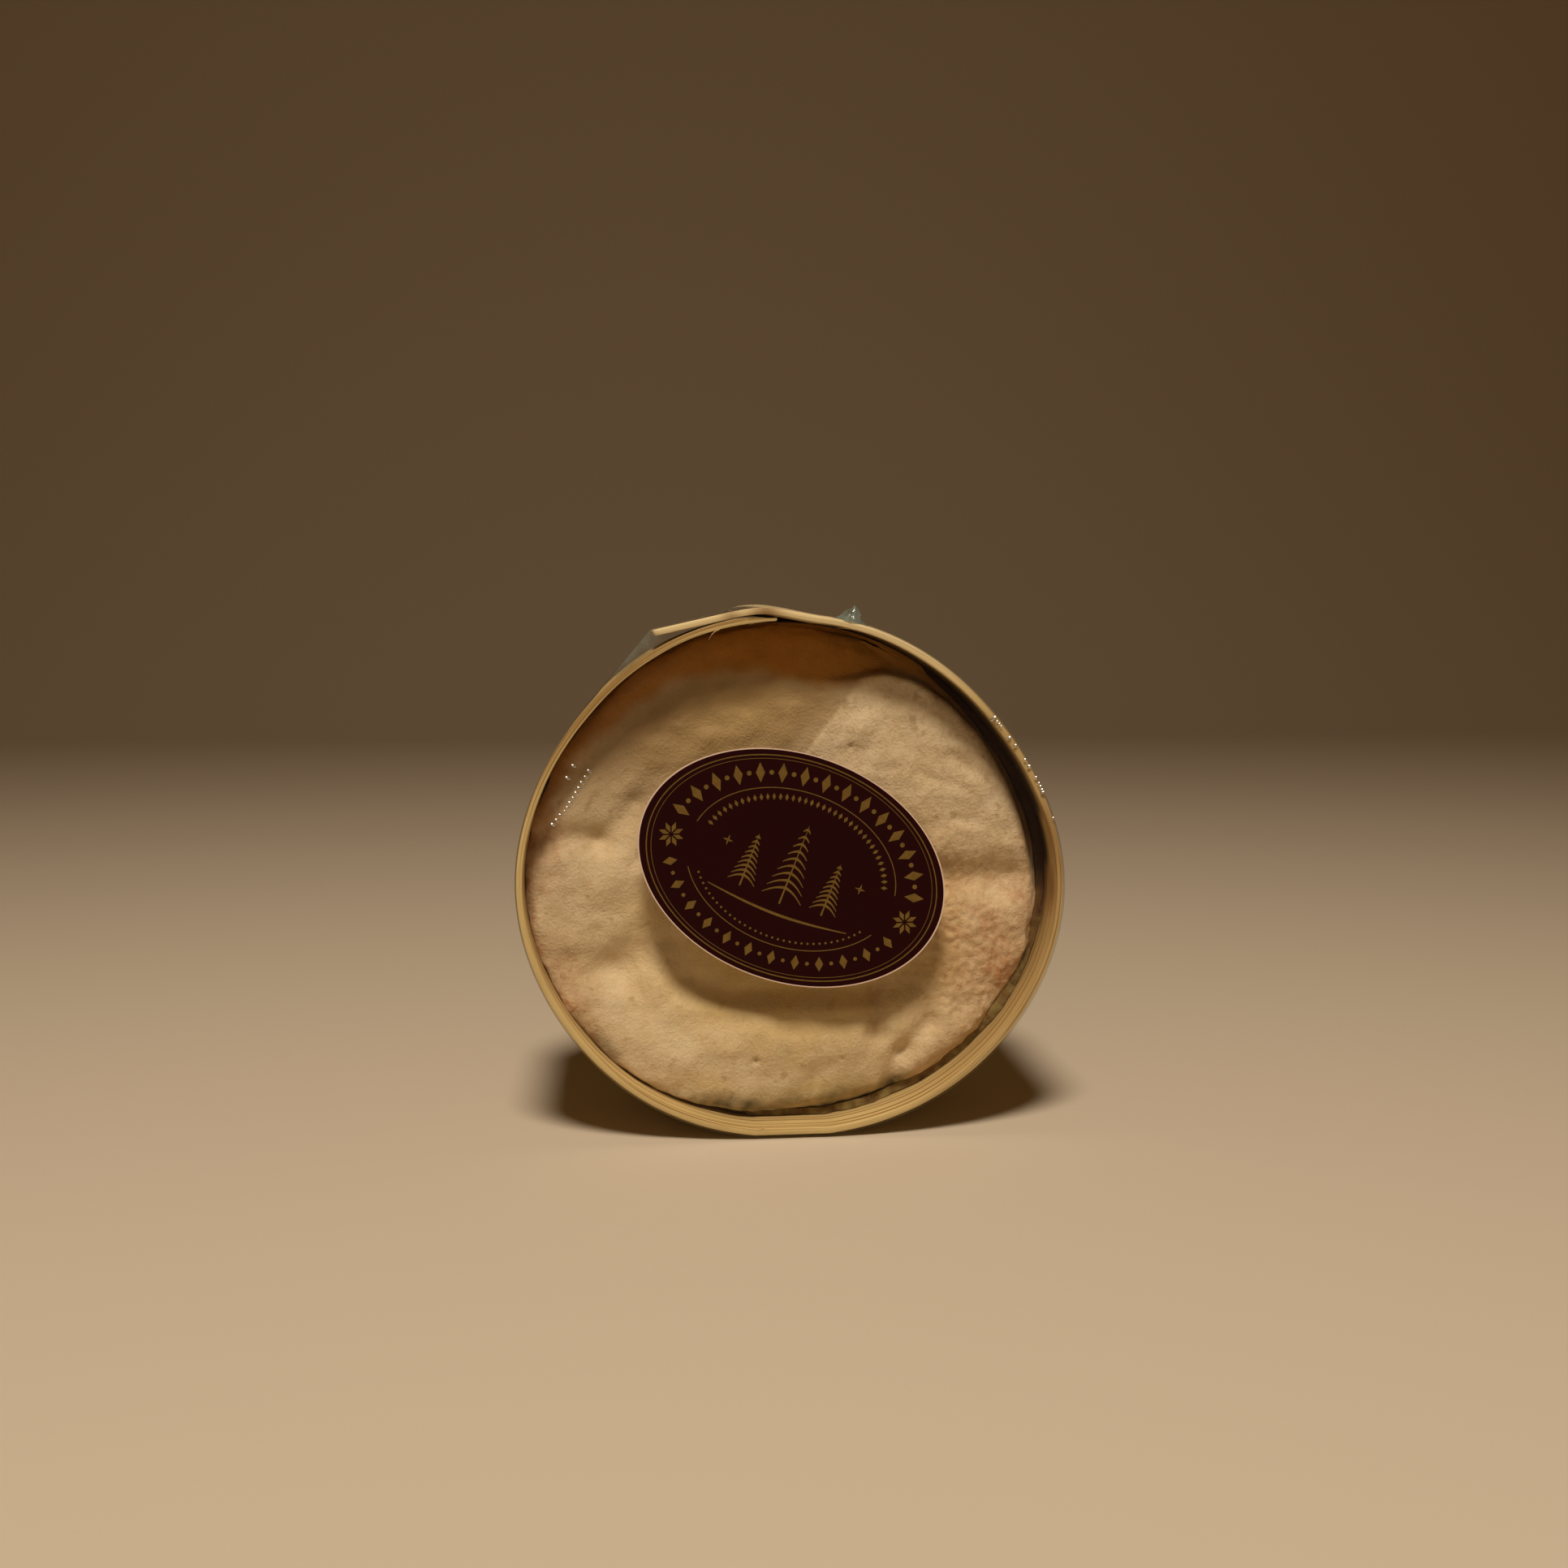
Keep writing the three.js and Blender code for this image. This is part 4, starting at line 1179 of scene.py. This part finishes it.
dress(label, [printed_paper, bare_paper], ["label"])
for polygon in label.data.polygons:
    centre = (polygon.center - AXIS) / MM
    along, across = swung(centre.x - LABEL_RIGHT, centre.z - LABEL_UP, -LABEL_TURN)
    within = math.hypot(along / LABEL_LONG, across / LABEL_SHORT) < PRINTED
    polygon.material_index = 0 if within and polygon.normal.y < -0.5 else 1
print("bare paper on", sum(p.material_index for p in label.data.polygons), "faces")

# %% [markdown]
# The print in gold is an ornament of its own: rows of lozenges and dots that follow the oval, two rosettes,
# and three small fir trees over a sagging line, between two small stars. Every mark is a flat ribbon or a
# small flat shape. A ribbon is a strip of grid laid along a path, so one tool makes lines, arcs and branches.

# %% Tools for the gold print
GOLD_LIFT = LABEL_THICK + 0.02
GOLD_THICK = 0.02


def ribbon(path, width, steps):
    """A flat strip along a path, which gives points for shares from 0 to 1. The ends may taper."""
    deselect()
    bpy.ops.mesh.primitive_grid_add(x_subdivisions=steps, y_subdivisions=1, size=MM)
    piece = bpy.context.object

    def lay(points):
        share = points[:, 0] + 0.5
        x, y = path(share)
        ahead, behind = path(np.minimum(share + 0.002, 1)), path(np.maximum(share - 0.002, 0))
        dx, dy = ahead[0] - behind[0], ahead[1] - behind[1]
        length = np.hypot(dx, dy)
        aside = points[:, 1] * (width(share) if callable(width) else width)
        return np.column_stack([x - dy / length * aside, y + dx / length * aside, np.zeros(len(share))])

    reshape(piece, lay)
    return piece


def spot(x, y, half_x, half_y, turn, corners):
    """A small filled shape: a lozenge with four corners, or a dot with many."""
    deselect()
    bpy.ops.mesh.primitive_circle_add(vertices=corners, radius=MM, fill_type="NGON")
    piece = bpy.context.object

    def lay(points):
        right, up = swung(points[:, 0] * half_x, points[:, 1] * half_y, turn)
        return np.column_stack([x + right, y + up, np.zeros(len(points))])

    reshape(piece, lay)
    return piece


def oval(share_of_label, start, end):
    """A path round the label at a share of its size, between two angles in degrees."""
    def path(share):
        angle = np.radians(start + (end - start) * share)
        return LABEL_LONG * share_of_label * np.cos(angle), LABEL_SHORT * share_of_label * np.sin(angle)
    return path


def line(start, end, sag=0.0):
    def path(share):
        x = start[0] + (end[0] - start[0]) * share
        y = start[1] + (end[1] - start[1]) * share - sag * np.sin(math.pi * share)
        return x, y
    return path


def along_oval(share_of_label, start, end, count):
    """Evenly spaced places on such a path: x, y and the direction of the path."""
    path = oval(share_of_label, start, end)
    fine = np.linspace(0, 1, 400)
    x, y = path(fine)
    run = np.concatenate([[0], np.cumsum(np.hypot(np.diff(x), np.diff(y)))])
    for share in np.interp(np.linspace(0, run[-1], count), run, fine):
        here, there = path(np.array(share)), path(np.array(share + 0.001))
        yield float(here[0]), float(here[1]), math.atan2(there[1] - here[1], there[0] - here[0])


# %% The ornament
marks = [ribbon(oval(0.945, 0, 360), 0.26, 160), ribbon(oval(0.915, 0, 360), 0.12, 160)]
for index, (x, y, turn) in enumerate(along_oval(0.80, 170, 10, 29)):
    marks.append(spot(x, y, 1.05, 2.3, turn, 4) if index % 2 == 0 else spot(x, y, 0.55, 0.55, turn, 12))
marks.append(ribbon(oval(0.675, 172, 8), 0.2, 90))
for x, y, turn in along_oval(0.60, 168, 12, 37):
    marks.append(spot(x, y, 0.42, 0.8, turn, 4))
for index, (x, y, turn) in enumerate(along_oval(0.80, 203, 337, 23)):
    marks.append(spot(x, y, 0.95, 1.7, turn, 4) if index % 2 == 0 else spot(x, y, 0.45, 0.45, turn, 12))
marks.append(ribbon(oval(0.69, 206, 334), 0.2, 60))
for x, y, _ in along_oval(0.63, 210, 330, 33):
    marks.append(spot(x, y, 0.28, 0.28, 0, 8))
for side in (-1, 1):
    for petal in range(8):
        turn = TURN * petal / 8
        x, y = side * 0.79 * LABEL_LONG, -2.4
        marks.append(spot(x + 1.7 * math.cos(turn), y + 1.7 * math.sin(turn), 1.25, 0.52, turn, 4))


def fir(x, foot, height, half_width):
    """A fir in line: a trunk, tiers of drooping branches that widen downwards, and a tuft at the top."""
    parts = [ribbon(line((x, foot), (x, foot + height)), lambda share: 0.42 - 0.3 * share, 8)]
    tiers = 9
    for tier in range(tiers):
        share = (tier + 0.5) / tiers
        root = foot + height * (1 - 0.84 * share)
        reach, drop = half_width * (0.12 + 0.88 * share), half_width * (0.12 + 0.42 * share)
        for side in (-1, 1):
            end = (x + side * reach, root - drop)
            parts.append(ribbon(line((x, root), end, -0.1 * reach), lambda along: 0.62 - 0.46 * along, 8))
    return parts


marks += fir(0, -8.6, 19.0, 5.0) + fir(-10.0, -7.8, 12.5, 3.4) + fir(10.0, -7.8, 12.5, 3.4)
marks += [ribbon(line((-17, -9.6), (17, -9.6), 1.5), lambda share: 0.2 + 0.4 * np.sin(math.pi * share), 24)]
for side in (-1, 1):
    for turn in (0, math.pi / 2):
        marks.append(spot(side * 16.2, 1.0, 1.3, 0.3, turn, 4))
gilding = joined("label_gilding", marks)
reshape(gilding, lambda points: label_place(points[:, 0], points[:, 1], GOLD_LIFT))
apply_modifier(gilding, "TRIANGULATE")
apply_modifier(gilding, "SOLIDIFY", thickness=GOLD_THICK * MM, offset=0.0)
face_out(gilding)

# %% [markdown]
# The gold is a bronze printing ink rather than foil, so it is dull: a metal with a rough surface, with no
# mirror image in it, that looks brightest where it sees the lit floor.

# %% Bronze ink
gold_ink, tree = new_material("bronze printing ink")
coords = add(tree, "ShaderNodeTexCoord").outputs["Object"]
worn = add(tree, "ShaderNodeTexNoise", {"Vector": coords, "Scale": 1 / 0.0012, "Detail": 3.0}).outputs["Fac"]
tone = add(tree, "ShaderNodeMix", {
    0: worn, 6: paint("#6f5827"), 7: paint("#987c42")}, data_type="RGBA").outputs[2]
shader = add(tree, "ShaderNodeBsdfPrincipled", {"Base Color": tone, "Metallic": 0.75, "Roughness": 0.42})
add(tree, "ShaderNodeOutputMaterial", {"Surface": shader.outputs[0]})
dress(gilding, gold_ink, ["label"])

# %% [markdown]
# Two wire staples hold the overlap. A staple is flat steel wire, bent at both ends. The crown is a bevelled
# bar, and the ends of its underside are extruded down into the wood. The wire has darkened.

# %% Staples
steel, tree = new_material("staple wire, darkened steel")
coords = add(tree, "ShaderNodeTexCoord").outputs["Object"]
rust = add(tree, "ShaderNodeTexNoise", {"Vector": coords, "Scale": 1 / 0.0015, "Detail": 4.0}).outputs["Fac"]
rust_share = add(tree, "ShaderNodeMapRange", {"Value": rust, "From Min": 0.45, "From Max": 0.7}).outputs[0]
tone = add(tree, "ShaderNodeMix", {
    0: rust_share, 6: paint("#6e675e"), 7: paint("#4a3222")}, data_type="RGBA").outputs[2]
shader = add(tree, "ShaderNodeBsdfPrincipled", {"Base Color": tone, "Metallic": 0.9, "Roughness": 0.45})
add(tree, "ShaderNodeOutputMaterial", {"Surface": shader.outputs[0]})

CROWN = (1.2 * MM, 9.6 * MM, 0.45 * MM)  # its width, length and thickness
LEG_FROM = 4.1  # the legs start this far from the middle of the crown
for node, middle in (("staple_front", -11.0), ("staple_back", 11.0)):
    staple = start(node + "_wire", bpy.ops.mesh.primitive_cube_add, size=1, scale=CROWN)
    bpy.ops.object.mode_set(mode="EDIT")
    cut_along(staple, 1, 11, 3.0)
    select_where(staple, "FACE", lambda face: face.normal.z < -0.9
                 and abs(face.calc_center_median().y) > LEG_FROM * MM)
    bpy.ops.mesh.extrude_faces_move(TRANSFORM_OT_shrink_fatten={"value": 0.9 * MM})
    bpy.ops.mesh.select_all(action="SELECT")
    bpy.ops.mesh.bevel(offset=0.12 * MM, segments=2, affect="EDGES")
    bpy.ops.object.mode_set(mode="OBJECT")
    seat = float(outer_layer_radius(np.array(STAPLE_ANGLE))) + 0.3

    def drive(points):
        right, up = swung(seat + points[:, 2], -points[:, 0], STAPLE_ANGLE)
        return np.column_stack([right, points[:, 1] + middle, up])

    reshape(staple, drive)
    face_out(staple)
    dress(staple, steel, [node])

# %% [markdown]
# The box stands on a plain pale floor that curves up behind it, so that no horizon cuts the picture. The
# floor is a plane whose far edge is pulled up, with the fold rounded by a bevel.

# %% Floor
floor = start("floor", bpy.ops.mesh.primitive_plane_add, size=4.0, location=(0, 0.6, -0.0003))
bpy.ops.object.mode_set(mode="EDIT")
select_where(floor, "EDGE", lambda edge: all(vertex.co.y > 2.5 for vertex in edge.verts))
bpy.ops.mesh.extrude_region_move(TRANSFORM_OT_translate={"value": (0, 0, 3.0)})
select_where(floor, "EDGE", lambda edge: all(
    vertex.co.y > 2.5 and vertex.co.z < 0.5 for vertex in edge.verts))
bpy.ops.mesh.bevel(offset=1.2, segments=24, affect="EDGES")
bpy.ops.object.mode_set(mode="OBJECT")
bpy.ops.object.shade_smooth()
pale, tree = new_material("pale matt paint")
shader = add(tree, "ShaderNodeBsdfPrincipled", {
    "Base Color": paint("#c4b8a6"), "Roughness": 0.8, "Specular IOR Level": 0.2})
add(tree, "ShaderNodeOutputMaterial", {"Surface": shader.outputs[0]})
floor.data.materials.append(pale)
floor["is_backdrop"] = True

# %% [markdown]
# One soft lamp hangs in front of and above the wheel. It is far enough over that the hoop throws its shadow
# down the top of the cheese and the label throws one onto it. A dim warm surround fills those shadows. The
# plain view transform keeps the warm browns as saturated as they are on the real rind.

# %% Lamp, surround and view
lamp_data = bpy.data.lights.new("soft_lamp", "AREA")
lamp_data.shape = "DISK"
lamp_data.size = 0.26
lamp_data.energy = 12.4
lamp_data.color = paint("#ffeed8")[:3]
lamp = bpy.data.objects.new("soft_lamp", lamp_data)
lamp.location = (-0.09, -0.55, 1.02)
lamp.rotation_euler = (Vector((0, 0, 0.06)) - lamp.location).to_track_quat("-Z", "Y").to_euler()
bpy.context.scene.collection.objects.link(lamp)

world = bpy.data.worlds.new("studio")
world.use_nodes = True
world.node_tree.nodes["Background"].inputs["Color"].default_value = paint("#ffbe6a")
world.node_tree.nodes["Background"].inputs["Strength"].default_value = 0.085
bpy.context.scene.world = world
bpy.context.scene.view_settings.view_transform = "Standard"

# %% [markdown]
# The camera stands where the photograph was taken from: close, a little to the left, and turned slightly down
# and to the right. Its place was worked out from how much of the hoop's inner wall shows on each side.

# %% Camera
camera_data = bpy.data.cameras.new("camera")
camera_data.lens = 36.06
camera_data.sensor_width = 36.0
camera_data.clip_start = 0.01
camera = bpy.data.objects.new("camera", camera_data)
camera.location = (-0.0362, -0.3725, 0.1154)
camera.rotation_euler = (math.radians(90 - 5.4), 0, math.radians(-5.5))
bpy.context.scene.collection.objects.link(camera)
bpy.context.scene.camera = camera

# %% Sizes and finish
low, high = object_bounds()
for name, box in (("CAD", CAD_HIGH - CAD_LOW), ("visual", high - low)):
    print(name, "box in mm:", [round(float(length) / MM, 1) for length in box])
